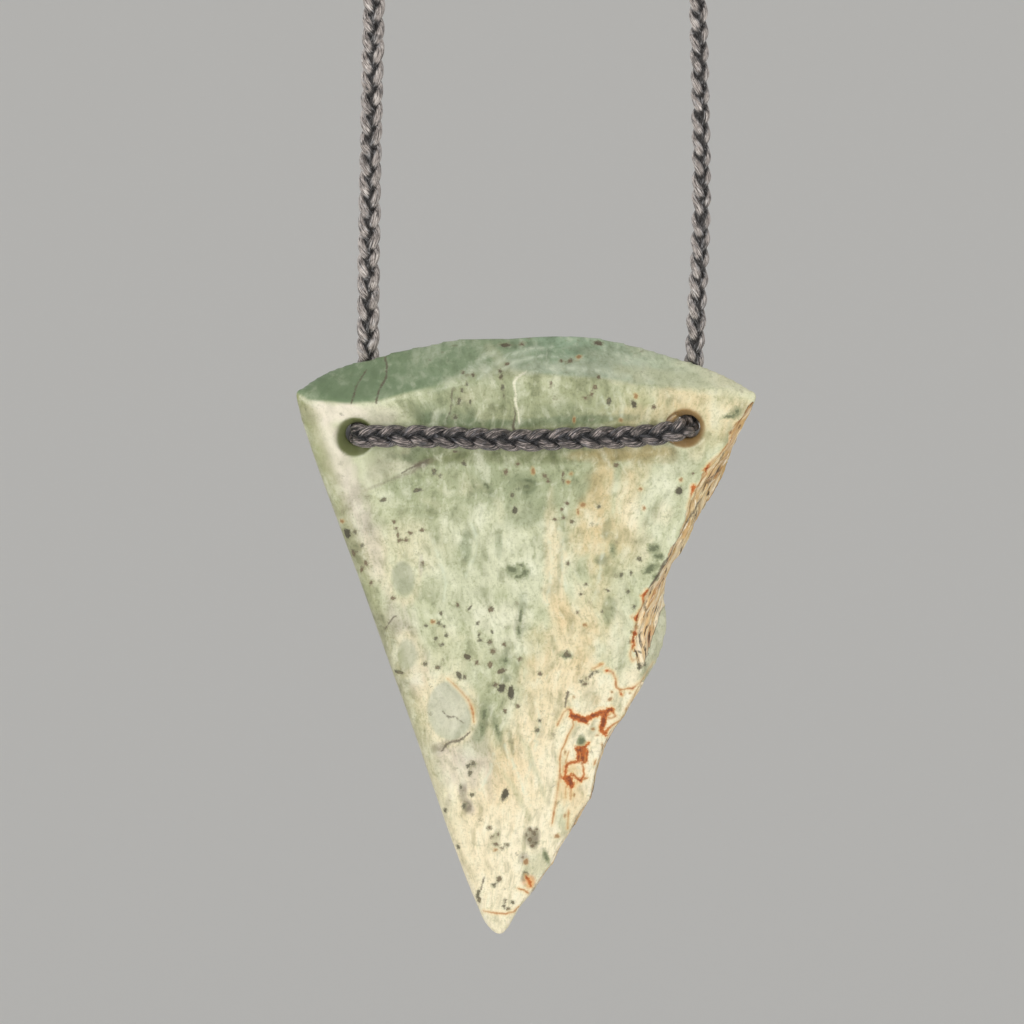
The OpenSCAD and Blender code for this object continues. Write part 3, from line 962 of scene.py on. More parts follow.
# Dark specks: place in pixels, half width, half height, turn in degrees
SPECKS = [
    (598, 343, 4.4, 2.1, 4), (570, 361, 3, 1.8, -25), (561, 361, 1.8, 1.4, 0), (598.6, 377, 1.6, 1.8, 0),
    (595, 387, 1.8, 2.5, 10), (592, 394, 1.4, 1.8, 0), (586, 398, 2.1, 1.8, 0), (609, 401, 2.1, 4, 0),
    (634, 404, 2.6, 4.4, -20), (654, 407, 1.8, 1.8, 0), (464, 463, 2.5, 2.5, 0), (434, 472, 2.3, 2.6, 0),
    (440, 476, 1.8, 1.8, 0), (456, 451.5, 3, 1.6, 0), (512, 495, 1.9, 1.9, 0), (515, 510, 2.6, 3.9, 10),
    (506, 472, 2.3, 2.3, 0), (518, 464, 1.6, 1.8, 0), (545, 476, 1.9, 1.9, 0), (548, 481, 1.6, 1.8, 0),
    (563, 474, 1.2, 2.6, 0), (563, 481, 1.2, 1.8, 0), (567, 503, 2.1, 1.8, 0), (562, 509.5, 1.8, 1.8, 0),
    (563, 518, 1.6, 1.6, 0), (555, 519, 1.6, 1.6, 0), (572, 522, 1.8, 1.8, 0), (599, 507, 1.9, 2.1, 0),
    (616, 465.5, 2.6, 2.6, 0), (568, 564, 1.8, 1.8, 0), (639, 559, 2.3, 2.3, 0), (586, 585, 1.6, 1.6, 0),
    (607, 590, 1.8, 1.4, 0), (621, 575, 1.6, 2.6, 0), (631, 573, 1.4, 2.1, 0), (628, 591.5, 1.8, 1.8, 0),
    (581, 594, 1.4, 1.4, 0), (577, 612, 1.4, 1.4, 0), (602, 612, 1.4, 1.8, 0), (634, 607, 1.8, 1.8, 0),
    (491, 610, 2.5, 2.6, 0), (458, 605, 1.8, 1.8, 0), (470, 607.5, 1.1, 3.5, 35), (441, 613, 1.8, 1.8, 0),
    (439, 623, 1.6, 1.8, 0), (444, 626.5, 1.4, 1.4, 0), (446, 635, 1.8, 1.4, 0), (436, 639, 1.9, 1.8, 0),
    (442, 644.5, 2.3, 1.8, 0), (479, 635, 1.2, 1.8, 0), (480, 640, 1.4, 1.4, 0), (478, 623, 1.4, 1.4, 0),
    (490, 642, 2.6, 2.5, 0), (504, 644.5, 2.5, 2.1, 30), (493, 651, 2.5, 2.8, 20), (492, 632, 1.4, 1.4, 0),
    (467, 657, 3.9, 2.6, 35), (477, 663, 2.1, 2.3, 0), (425, 664, 1.8, 1.8, 0), (438, 667, 2.5, 2.1, 0),
    (490, 665, 2.1, 3, 0), (501, 671, 4, 2.3, -25), (459, 675, 2.5, 3.9, -25), (465, 677.6, 1.6, 2.1, 0),
    (520, 659, 1.8, 1.8, 0), (540, 673.5, 2.1, 2.3, 0), (494.6, 685, 2.3, 2.6, 0),
    (501.6, 688, 3.2, 4.4, 20), (511, 693, 3.5, 6.5, 0), (517.6, 706, 1.8, 1.8, 0), (505, 711, 1.8, 2.6, 0),
    (540, 720.5, 1.9, 1.9, 0), (537, 730, 1.9, 2.1, 0), (473.5, 763, 1.8, 1.8, 0), (468, 766, 1.9, 2.1, 0),
    (470, 773, 1.8, 2.6, 0), (472, 795, 2.3, 1.6, 0), (505.5, 793.5, 3.2, 5.6, 20), (503, 799, 2.1, 2.1, 0),
    (445, 810, 1.8, 2.3, 0), (489, 828, 1.9, 1.8, 0), (498, 835, 1.6, 1.6, 0), (491, 838, 1.4, 1.4, 0),
    (495, 844, 2.8, 1.6, 10), (502, 848.6, 1.9, 1.6, 0), (507, 845, 1.8, 1.8, 0), (532, 846, 2.6, 1.8, 0),
    (525.7, 874, 3, 2.3, 40), (499, 879, 2.1, 3, 20), (494, 885, 1.8, 1.4, 0), (505, 900, 1.8, 1.8, 0),
    (513, 902, 1.6, 1.6, 0), (508, 909, 1.6, 1.6, 0), (479, 900, 1.8, 3.2, 0), (458, 847, 1.8, 2.6, 0),
    (504, 906.5, 1.2, 1.2, 0), (347, 533.6, 3.5, 4.8, 0), (355, 532, 1.8, 1.8, 0),
    (353, 553, 2.1, 3.5, -10), (357, 552, 1.4, 1.4, 0), (362, 546, 1.8, 1.8, 0), (366, 563, 1.8, 2.3, 0),
    (362, 569, 1.9, 2.5, 0), (371, 583, 1.8, 2.1, 0), (418, 490, 4.4, 1.9, -15), (383, 500, 3, 1.9, -10),
    (410, 533, 2.5, 1.8, -10), (422, 530, 2.1, 1.8, 0), (406, 540, 1.6, 1.6, 0), (422.5, 563, 1.6, 1.9, 0),
    (679, 491, 3, 3.9, 0), (693, 474, 1.4, 1.4, 0), (636.7, 626.5, 1.6, 2.1, 0),
    (632.2, 632.5, 1.3, 1.3, 0), (630.3, 641.8, 1.5, 1.7, 0), (566.6, 653.8, 2.6, 2.6, 0),
    (500.6, 377, 1.9, 2.6, 0), (502.6, 387, 1.6, 3, 0), (500, 371, 1.6, 1.8, 0), (503.8, 396, 1.1, 1.8, 0),
    (473, 375, 1.6, 1.8, 0), (467, 384, 1.2, 2.1, 0), (462, 390, 1.4, 1.8, 0), (459, 401, 1.8, 3, 20),
    (470, 402, 1.4, 2.1, 0), (455, 417, 2.6, 1.9, 0), (463, 372, 1.4, 1.4, 0), (505, 345, 5.3, 1.9, 0),
    (522, 344, 2.1, 1.4, 0), (507, 364, 2.3, 1.4, -20), (551, 384, 1.4, 2.1, 0), (639.9, 666, 2.1, 3.5, 0),
    (645, 665, 1.2, 1.4, 0), (557, 803, 1.6, 1.8, 0), (393, 598, 1.9, 1.6, 0), (398, 672, 5.3, 1.4, 15),
    (478, 893, 1.4, 3.5, 15), (394, 522, 1.3, 1.8, 0), (396, 528.5, 1.4, 1.6, 0), (398, 535, 1.6, 1.8, 0),
    (399.5, 541, 1.8, 1.8, 0), (584.4, 684, 2.6, 1.9, -20), (590, 676.5, 1.3, 1.1, 0),
    (586.4, 679.4, 1.2, 1.1, 0), (592.5, 673, 1.8, 1.3, 0), (596.6, 671.4, 1.9, 1.3, -10),
    (530, 829, 1.6, 1.8, 0), (534.5, 834, 2.2, 2.0, 0), (530, 840, 1.8, 2.2, 0), (536, 843, 1.5, 1.3, 0),
    (537, 829, 1.2, 1.4, 0), (526.5, 835, 1.2, 1.6, 0), (523, 857, 1.4, 1.4, 0), (464, 806, 1.8, 2.2, 0),
    (461, 786, 1.2, 1.8, 0), (426, 625.5, 1.6, 1.6, 0),
    (581.3, 681.2, 1.4, 1.4, 0), (567, 651, 1.2, 1.2, 0), (569.5, 655.6, 1.1, 1.1, 0),
]
# Dark green blotches with a torn rim, as above
BLOTCHES = [
    (512, 570, 5.5, 3.2, 15), (525, 573, 4.2, 2.8, -30), (519, 577, 3.4, 1.8, 0), (521, 565, 2.2, 1.6, 0),
    (527, 486, 6, 2.6, 10), (518, 489, 3, 1.8, 0), (653, 548, 5, 3.2, -10), (658, 556, 5, 2.4, 10),
    (650, 568, 6, 3.0, -25), (656, 577, 3.4, 2.6, 0), (646, 572, 3, 1.8, 0), (520.5, 616, 1.6, 8, 6),
    (519, 632, 1.4, 4, 0), (484, 714, 2.2, 6, 5), (482, 728, 1.6, 4, 0), (497, 730, 1.6, 7, -18),
    (581.5, 742, 3.0, 5.4, 0), (566, 656, 5, 2.2, 0), (505, 661, 2.2, 3.2, 0), (729, 416, 5, 1.8, -12),
    (737, 411, 2.2, 2.4, 0), (487, 486, 1.4, 4, -26), (546, 856, 1.4, 4, -20), (612, 548, 1.6, 3.4, 0),
]
# Fine pale wisps, and one row that is a painted highlight along the ridge: rows of place in pixels and half
# width
WISPS_AND_RIDGE_SHEEN = [
    [(478, 379, 0.5), (492, 366, 0.9), (508, 356, 0.8), (530, 349, 0.6), (552, 347, 0.3)],
    [(497, 372, 0.3), (514, 362, 0.7), (540, 356, 0.6), (566, 356, 0.3)],
    [(470, 371, 0.3), (480, 360, 0.6), (494, 352, 0.4)],
    [(452, 382, 0.3), (462, 372, 0.5), (472, 365, 0.3)],
    # Painted highlight along the ridge
    [(528, 374, 0.4), (548, 369, 1.0), (572, 368, 1.3), (600, 371, 1.1), (628, 376, 0.5)],
    [(559, 529, 0.3), (563, 545, 0.7), (562, 565, 0.5), (566, 590, 0.2)],
    [(505, 745, 0.4), (512, 762, 0.7), (522, 786, 0.5), (530, 806, 0.2)],
    [(549, 540, 0.2), (552, 556, 0.4), (551, 580, 0.4), (547, 604, 0.2)],
    [(598, 392, 0.3), (606, 405, 0.6), (611, 419, 0.4)],
    [(618, 390, 0.3), (623, 404, 0.5), (621, 420, 0.3)],
    [(470, 520, 0.2), (476, 536, 0.5), (474, 556, 0.4), (466, 576, 0.2)],
    [(432, 540, 0.2), (440, 560, 0.5), (446, 584, 0.4), (444, 602, 0.2)],
    [(536, 700, 0.2), (540, 724, 0.4), (534, 752, 0.5), (528, 776, 0.2)],
    [(600, 520, 0.2), (604, 544, 0.5), (600, 572, 0.4), (596, 596, 0.2)],
    [(480, 790, 0.2), (490, 772, 0.5), (494, 754, 0.2)],
]
# Orange and brown freckles, as above
FRECKLES = [
    (579, 357, 3, 2, -30), (533, 471, 2.2, 3.6, 0), (583, 505, 2.8, 2.6, 0), (578, 511, 1.6, 3.6, 0),
    (641, 489, 2, 2, 0), (681, 480, 2, 2, 0), (644, 508, 1.8, 2.4, 0), (585, 625, 2.2, 2.2, 0),
    (342, 521, 2.4, 2, 0), (433, 622, 2, 2, 0), (495.6, 850, 2, 1.6, 0),
    (557, 836, 2.6, 2.4, 0), (571, 474, 2, 1.6, 0), (568, 482, 2, 2, 0), (574, 420, 1.6, 3, 0),
    (636, 396, 2, 3, 0), (610, 699, 3, 1.8, -30), (611.8, 692, 1.4, 1.4, 0), (600, 664, 2.4, 1.4, -20),
    (526, 862, 2.6, 3.4, 0), (574, 697, 1.6, 1.6, 0), (731, 433, 1.8, 2.6, 20), (621, 420, 2, 2, 0),
    (588, 724, 1.6, 1.4, 0), (593, 729, 1.8, 1.4, 20), (612, 712, 1.6, 2.0, 0), (597, 735, 1.4, 1.4, 0),
    (565, 752, 1.4, 3.0, 0), (574, 795, 1.4, 2.4, 0), (602, 745, 1.2, 2.0, 0), (565, 816, 1.6, 3.0, 10),
    (630, 693, 1.6, 1.4, 0),
]
# Veins of rust: rows of place in pixels and half width
VEINS = [
    [(557.7, 724.6, 0.8), (560.6, 718.9, 0.8), (563.9, 712.2, 0.8), (568.2, 708.6, 1.0), (571.1, 711.2, 1.8),
     (572, 716, 2.8), (576.4, 717, 3.3), (580.2, 718.4, 3.5), (585, 719.9, 3.6), (588.8, 718.4, 3.1),
     (591.7, 716.5, 2.6), (596.5, 714.1, 2.5), (600.3, 711.2, 2.2), (605, 711.2, 2.8)],
    [(605, 714, 3.0), (603.2, 722.7, 2.6), (601.2, 729.4, 2.8), (606, 734.2, 1.8), (607.9, 728.5, 1.4),
     (612.7, 724.6, 1.0), (619.4, 720.8, 0.8), (624.2, 716, 0.6)],
    [(605, 711.2, 1.6), (610.8, 709.3, 2.2), (613.7, 713.2, 1.2), (615.6, 716, 0.9), (611, 718.5, 0.9),
     (607, 717, 1.2)],
    [(572, 717, 0.6), (573.5, 725.6, 0.7), (567.8, 735.2, 0.7), (564.9, 743.8, 0.9), (561, 751.4, 0.9),
     (559.9, 758.1, 0.9), (560.1, 764.8, 0.8), (559.6, 778.2, 0.9), (558.2, 785.9, 0.9), (556.3, 799.3, 1.0),
     (554, 812, 0.9), (552, 824, 0.7)],
    [(568.7, 751.4, 0.5), (565.4, 762.9, 0.5)],
    [(576.4, 762, 1.6), (568.7, 762.9, 1.4), (566.3, 766.7, 1.6), (564.9, 774.4, 1.8), (563.9, 778.2, 1.8)],
    [(567.8, 779.2, 4.4), (571.6, 784.9, 3.2), (571.1, 788.8, 1.4)],
    [(573.5, 774.4, 1.2), (576.8, 778.2, 1.4), (580.2, 781.1, 1.6), (584, 775.4, 1.4), (583.5, 767.7, 1.2),
     (582, 763, 1.2)],
    [(583.6, 779, 0.9), (586.9, 778.2, 0.8)],
    [(571.1, 789.7, 0.7), (570.6, 799.3, 0.7)],
    [(565.8, 786.8, 0.5), (565.4, 797.4, 0.5)],
    [(594.5, 763.9, 0.8), (596, 760, 0.5)],
    [(607, 670.6, 1.6), (612.7, 672, 1.0), (615.6, 678.7, 1.0), (616.1, 687.3, 1.0), (620.4, 690.2, 0.8),
     (626.1, 688.8, 0.6), (632.8, 688.3, 1.4), (639.5, 682.5, 0.5)],
    [(620, 691, 0.8), (621.3, 694, 1.5)],
    [(593.6, 668.2, 1.0), (602.2, 664.4, 1.3)],
    [(646.9, 591, 1.6), (643.1, 597.4, 1.8), (643.4, 601.6, 1.2), (642.4, 606.7, 1.0), (638.9, 612.4, 1.2),
     (636.3, 618.4, 2.4), (636.5, 623, 1.0), (636, 630.9, 1.2), (635, 634, 1.9), (633.2, 638, 1.4),
     (633.5, 643, 1.8), (633.2, 646.5, 1.6), (630.6, 651.3, 0.7), (630.3, 655.2, 0.8), (632.2, 660.3, 1.1),
     (636, 659, 0.7)],
    [(631.9, 616.9, 0.8), (635, 618.5, 1.2)],
    [(728.9, 444.3, 0.6), (719.8, 454.3, 0.7), (712.1, 461, 0.9), (708.3, 465.8, 1.5), (705.9, 470.1, 1.9),
     (707.3, 474.4, 0.8), (701.6, 482.1, 0.8), (696.8, 487.3, 0.9), (693.4, 487.3, 2.2), (692.3, 490.5, 1.8),
     (690.6, 498.3, 0.8), (687.7, 507.9, 0.7)],
    [(703, 470.4, 0.5), (706, 470, 1.2)],
    [(736.5, 424, 1.2), (735, 426.5, 0.9)],
    [(653.9, 662.4, 0.3), (645, 677, 0.5), (635.7, 692.1, 0.6), (630, 701.7, 0.5), (625.2, 710.3, 0.4)],
    [(484, 911, 0.5), (495, 913, 0.8), (506, 913.7, 0.9), (513.5, 911.6, 0.8), (519, 907, 1.0)],
    [(518.6, 888.7, 0.9), (524, 890, 0.9), (528, 893, 0.7)],
    [(526, 876, 1.2), (530, 882, 2.2), (531, 886, 1.4)],
    [(448, 679, 0.2), (455, 685.5, 0.7), (461.5, 692, 0.8), (468, 699.5, 1.1), (471.3, 706.5, 1.3),
     (473, 713, 1.1), (473.7, 722, 0.4)],
    [(568.6, 810, 0.6), (567.6, 828, 0.8)],
    [(592, 811, 0.7), (578, 826, 0.8), (568, 838, 0.6)],
]
RUST_PATCHES = [
    [(574, 745.7), (582.1, 746.7), (589.8, 741.9), (587.8, 746.7), (588.3, 752.4), (587.8, 762.9),
     (583.5, 763.9), (581.1, 760), (579.7, 762.9), (576.4, 762), (576.8, 756.2), (575.4, 750.5)],
]
# Fine cracks: dark lines, as the veins above
CRACKS = [
    [(384.5, 355, 0.6), (387, 366, 0.7), (386, 378, 0.7), (379, 390, 0.6), (376, 403, 0.4)],
    [(366, 370, 0.4), (357, 385, 0.4), (351, 404, 0.3)],
    [(452, 391, 0.1), (451.5, 403, 0.3), (450, 413, 0.3), (446.5, 419, 0.2)],
    [(567.8, 692.7, 1.2), (566, 700, 0.9), (565.3, 706.7, 0.5)],
    [(514, 408, 0.1), (515.5, 414, 0.5), (514, 421, 0.9), (513, 427, 1.2), (515, 432, 1.2)],
    [(443, 711.5, 0.1), (446, 715.5, 0.4), (449.5, 717.5, 0.5), (454.5, 716.8, 0.2), (463, 722.5, 0.1)],
    [(442, 751, 0.3), (446, 745, 0.7), (452, 741.5, 0.8), (459, 741, 0.8), (464, 737.5, 0.6),
     (470, 732, 0.3)],
    [(385, 629, 0.3), (389, 623, 0.5), (393.5, 617.5, 0.5), (396, 616, 0.2)],
    [(430, 459, 0.3), (422, 463, 0.7), (413, 467, 0.5), (402, 473, 0.2)],
    [(669, 556, 0.6), (663, 565, 1.0), (657, 577, 0.8), (649, 588, 0.6), (643, 601, 0.5)],
    [(474, 902, 0.5), (481, 889, 0.6), (484, 878, 0.4)],
    [(722.6, 464.9, 0.5), (717.8, 475.4, 0.6), (708.3, 484, 0.4)],
    [(709.2, 490.7, 0.5), (698.7, 505, 0.7), (689.1, 522.3, 0.6), (684.4, 530.9, 0.5), (678, 541, 0.6),
     (673, 549, 0.8), (669, 556, 0.8)],
    [(645.3, 603.5, 0.3), (646.2, 612.4, 0.4)],
    [(640.6, 636, 0.8), (643, 632.8, 0.5)],
    [(638.6, 651.3, 0.6), (640.5, 652.6, 0.4)],
]
# The ledge beside the crack in the middle of the top, as the veins above; its pale line is a painted
# highlight on the step's edge
LEDGE = [(527, 371, 0.2), (518, 376.5, 0.8), (513.5, 382.5, 1.1), (514.8, 389, 1.0), (515.8, 395.5, 0.9),
         (515, 400, 0.8), (517, 407, 0.7), (518.3, 414.6, 0.5), (519.5, 424, 0.2)]

# The broken side: where its band begins on the face, and the stone's outline beyond it
BAND_START = [
    (755, 397), (741, 418), (731, 433), (728, 444), (718, 456), (704, 470), (697, 487), (689, 502),
    (685, 524), (680, 536), (672, 547), (661, 569), (648, 589), (637, 616), (632, 633), (632, 650),
    (638, 670), (643, 677), (604, 745), (590, 800), (542, 879), (498, 934),
]
OUTLINE = [
    (756, 397), (749, 416), (735, 437), (728, 459), (720, 482), (704, 503), (690, 530), (681, 553),
    (672, 561), (665, 588), (664, 611), (667, 621), (662, 647), (645, 677), (624, 716), (604, 746),
    (593, 786), (588, 803), (570, 833), (552, 865), (542, 880), (519, 908), (500, 934),
]
# Where a smooth rim begins beyond the broken band: how far down, then the place across
SMOOTH_RIM = [(600, 666), (612, 661), (625, 657), (640, 651.5), (655, 646), (668, 641), (690, 634)]
# The face leans back from the bottom up, by this many degrees, about this height below the origin
FACE_LEAN = 15
FACE_MIDDLE_Z = 0.175
# The left side runs straight between these two places
LEFT_TOP = (297, 400)
LEFT_FOOT = (479, 905)
# How much painted shade turns its rounded edge olive: how far down, then the share
LEFT_RIM_SHADE = [(420, 0.75), (620, 0.55), (760, 0.55), (800, 0.3), (850, 0.05)]
# The width at which the stone's fibres lie at their true spacing, and the least width, in pixels
GRAIN_WIDTH = 380
LEAST_WIDTH = 40
# How high the ridges along the broken side rise and how far it lies back, and the waves left by the polish
RIDGE_HEIGHT = 0.00034
BAND_SINK = 0.00014
POLISH_WAVES = 0.00004
# Marks that are cut into the surface: kind, depth, and how far inside the rim the cut begins and is whole
CUTS = [
    ("ledge", 0.00012, -1.5, 1.0),
    ("cracks", 0.00006, -1.5, 0.5),
    ("specks", 0.00004, -1.0, 1.0),
]
# A mark that is further off than this, in pixels, doesn't show
FAR_OFF = 60.0


def smooth_step(value, low, high):
    """From 0 at low to 1 at high, with soft ends."""
    t = np.clip((value - low) / (high - low), 0, 1)
    return t * t * (3 - 2 * t)


def turned_way(place, x, y, turn):
    """How far each place lies from x, y, along and across a direction turned by some degrees."""
    dx, dy = place[:, 0] - x, place[:, 1] - y
    c, s = math.cos(math.radians(turn)), math.sin(math.radians(turn))
    return dx * c + dy * s, dy * c - dx * s


def inside_spot(place, x, y, wide, tall, turn):
    """How far inside an oval each place lies: 1 at its middle, 0 on its rim, and less outside."""
    along, aside = turned_way(place, x, y, turn)
    return 1 - np.hypot(along / wide, aside / tall)


def nearest_spots(place, spots):
    """For each place, the way from the middle of the nearest oval and the oval's size, all in pixels, and
    how far inside the oval it lies."""
    inside = np.full(len(place), -FAR_OFF)
    near = np.zeros((len(place), 3))
    for x, y, wide, tall, turn in spots:
        along, aside = turned_way(place, x, y, turn)
        size = math.sqrt(wide * tall)
        way = np.stack([along / wide * size, aside / tall * size], axis=1)
        depth = size - np.hypot(*way.T)
        closer = depth > inside
        near[closer] = np.c_[way, np.full(len(way), size)][closer]
        inside[closer] = depth[closer]
    return near, inside


def nearest_lines(place, lines):
    """The same for lines of changing width: how far to one side of the line each place lies, and the line's
    half width."""
    inside = np.full(len(place), -FAR_OFF)
    near = np.zeros((len(place), 3))
    for line in lines:
        for (x0, y0, w0), (x1, y1, w1) in zip(line, line[1:]):
            run = np.array([x1 - x0, y1 - y0])
            off = place - (x0, y0)
            t = np.clip((off @ run) / (run @ run), 0, 1)
            gap = np.hypot(*(off - t[:, None] * run).T)
            side = np.where(off[:, 0] * run[1] > off[:, 1] * run[0], 1, -1)
            wide = w0 + (w1 - w0) * t
            closer = wide - gap > inside
            near[closer] = np.c_[side * gap, 0 * gap, wide][closer]
            inside[closer] = (wide - gap)[closer]
    return near, inside


# The kinds of placed marks: name, how they are measured, and their table
MARKS = [
    ("specks", nearest_spots, SPECKS),
    ("freckles", nearest_spots, FRECKLES),
    ("blotches", nearest_spots, BLOTCHES),
    ("wisps_and_sheen", nearest_lines, WISPS_AND_RIDGE_SHEEN),
    ("veins", nearest_lines, VEINS),
    ("cracks", nearest_lines, CRACKS),
    ("ledge", nearest_lines, [LEDGE]),
]


def inside_patch(place, corners):
    """How far inside a polygon each place lies, in pixels."""
    rim = -nearest_lines(place, [[(*corner, 0) for corner in [*corners, corners[0]]]])[1]
    odd = np.zeros(len(place), bool)
    for (x0, y0), (x1, y1) in zip(corners, [*corners[1:], corners[0]]):
        crossed = (y0 > place[:, 1]) != (y1 > place[:, 1])
        with np.errstate(divide="ignore", invalid="ignore"):
            at = (x1 - x0) * (place[:, 1] - y0) / (y1 - y0) + x0
        odd ^= crossed & (place[:, 0] < at)
    return np.where(odd, rim, -rim)


def tinge(colour, cover, name):
    """Lays one of the tones over the colours where the cover says."""
    colour += cover[:, None] * (linear(*TONES[name]) - colour)


def lay_clouds(colour, place, wander, rows, soft=0.5, shown=1.0):
    """Lays patches of colour one over another, each with a soft and wandering rim."""
    for name, x, y, wide, tall, turn, strength in rows:
        spot = inside_spot(place, x, y, wide, tall, turn)
        tinge(colour, shown * strength * smooth_step(spot + wander, 0.05 - soft, 0.05 + soft), name)


def read_skin(mesh):
    """The stone's skin: its points, which way they face, where they show in the photograph, and how far they
    lie behind the plane of the face."""
    skin = SimpleNamespace()
    skin.points = rows_of(mesh.vertices, "co")
    skin.normals = rows_of(mesh.vertex_normals, "vector")
    skin.place = photo_place(skin.points)
    skin.across, skin.down = skin.place.T
    skin.face = smooth_step(-skin.normals[:, 1], 0.15, 0.45)
    lean = math.radians(FACE_LEAN)
    back, up = skin.points[:, 1] - FRONT_Y * MM, skin.points[:, 2] + FACE_MIDDLE_Z
    skin.depth = back * math.cos(lean) + up * math.sin(lean)
    return skin


def find_facet(skin):
    """How far each point belongs to the bevelled top, from 0 to 1."""
    ridge_x, ridge_y, ridge_soft = np.array(RIDGE, float).T
    above = np.interp(skin.across, ridge_x, ridge_y) - skin.down + swells(skin.points, 0.004, 29) * 0.8
    return smooth_step(above / np.interp(skin.across, ridge_x, ridge_soft), -1, 1)


def find_broken_side(skin):
    """Notes where the stone is broken and rough, the smooth rim beyond, and the lanes along the band."""
    across, down, points = skin.across, skin.down, skin.points
    start_x, start_y = np.array(BAND_START, float).T
    start = np.interp(down, start_y, start_x)
    ragged = swells(points, 0.004, 31) * 2.2 + swells(points, 0.0013, 33, octaves=2) * 0.8
    in_band = smooth_step(across - start + ragged, -0.8, 1.2)
    wall = smooth_step(skin.normals[:, 0], 0.35, 0.7) * smooth_step(across, 520, 540)
    lower = smooth_step(down, 660, 690)
    rough = np.maximum(in_band * (1 - lower), wall * (1 - 0.3 * lower)) * (1 - skin.facet)
    rough = rough * smooth_step(down + 3 * ragged, 396, 408)
    rim_y, rim_x = np.array(SMOOTH_RIM, float).T
    rim = smooth_step(across + 0.4 * ragged - np.interp(down, rim_y, rim_x), -1.8, 2.2)
    skin.smooth_rim = rim * smooth_step(down, 600, 612) * smooth_step(-down, -690, -672)
    skin.rough = rough * (1 - 0.92 * skin.smooth_rim)
    lane = np.hypot(np.maximum(across - start, 0) / PIXELS_PER_MM, np.maximum(skin.depth, 0) / MM)
    drift = swells(points, 0.010, 41) * 0.6 + swells(points, 0.003, 47) * 0.18
    skin.lane = lane + drift
    skin.run = down / PIXELS_PER_MM


def find_fibre(skin):
    """Each point's place in the stone's fibres, which draw together towards the tip, in millimetres."""
    edge_x, edge_y = np.array(OUTLINE, float).T
    edge = np.interp(skin.down, edge_y, edge_x)
    left = np.interp(skin.down, (LEFT_TOP[1], LEFT_FOOT[1]), (LEFT_TOP[0], LEFT_FOOT[0]))
    width = np.maximum(edge - left, LEAST_WIDTH)
    grain = ((skin.across - left) / width - 0.45) * np.sqrt(width * GRAIN_WIDTH) / PIXELS_PER_MM
    grain = grain + swells(skin.points, 0.016, 37, octaves=2) * 1.1
    return np.stack([grain, skin.run, skin.depth / MM], axis=1)


def draw_in_holes(skin, cord_line):
    """Narrows each drilled hole towards its middle, as when it is drilled from both sides, clear of the
    cord."""
    for hole in HOLE_PLACES:
        near = np.hypot(*(skin.place - hole).T)
        wall = np.flatnonzero((near < HOLE_MOUTH + HOLE_LIP) & (np.abs(skin.normals[:, 1]) < 0.75))
        way = (hole - skin.place[wall]) / np.maximum(near[wall], 1)[:, None]
        deep = np.clip(skin.depth[wall] / skin.depth[wall].max(), 0, 1)
        waist = HOLE_WAIST * np.sin(math.pi * deep)
        room = np.full(len(wall), 1.0)
        for spot in cord_line:
            room = np.minimum(room, np.linalg.norm(skin.points[wall] - spot, axis=1))
        pull = np.clip(np.minimum(waist, room - CORD_D / 2 - HOLE_ROOM), 0, None)
        skin.points[wall, 0] += pull * way[:, 0]
        skin.points[wall, 2] -= pull * way[:, 1]


def cut_surface(skin, marks):
    """Ridges along the broken side, a hand-polished unevenness, and what is cut into the face."""
    streak = np.stack([skin.lane, skin.run * 0.16, np.zeros(len(skin.run))], axis=1)
    push = skin.rough * (swells(streak, 0.75, 53) * RIDGE_HEIGHT - BAND_SINK)
    push += POLISH_WAVES * swells(skin.points, 0.009, 59, octaves=2) * (1 - skin.rough)
    for name, deep, begins, whole in CUTS:
        push -= deep * smooth_step(marks[name][1], begins, whole) * skin.face
    skin.points += skin.normals * push[:, None]


def lay_orb(colour, busy, skin, place, wander, name, orb):
    """One rounded nodule: a pale ring, its own tone, and a shade on its lower right."""
    x, y, wide = orb[:3]
    inside = inside_spot(place, *orb) * wide
    ring = np.exp(-((inside + 3.5) / 3.5) ** 2) * smooth_step(wander, -0.5, 0.2)
    tinge(colour, 0.75 * ring * skin.face, "cream")
    tinge(colour, 0.85 * smooth_step(inside + 2 * wander, -1.2, 2.0) * skin.face, name)
    shade = smooth_step(-inside, -wide * 0.6, 0) * smooth_step(inside, -1.0, 0.5)
    low_side = smooth_step(skin.down - skin.across * 0.4, y - x * 0.4 - 10, y - x * 0.4 + 20)
    tinge(colour, 0.3 * shade * low_side * skin.face, "sage")
    busy *= 1 - 0.45 * smooth_step(inside, -1, 2)


def lay_facet(colour, skin, place, wander):
    """The bevelled top's own colours, fainter round the back."""
    facet_x, *parts = np.array(FACET_TONES, float).T
    top = linear(*(np.interp(skin.across + 30 * wander, facet_x, part) for part in parts)).T
    lay_clouds(top, place, wander, FACET_CLOUDS)
    seen = 1 - 0.6 * smooth_step(skin.normals[:, 1], 0.0, 0.5)
    colour += (skin.facet * seen)[:, None] * (top - colour)


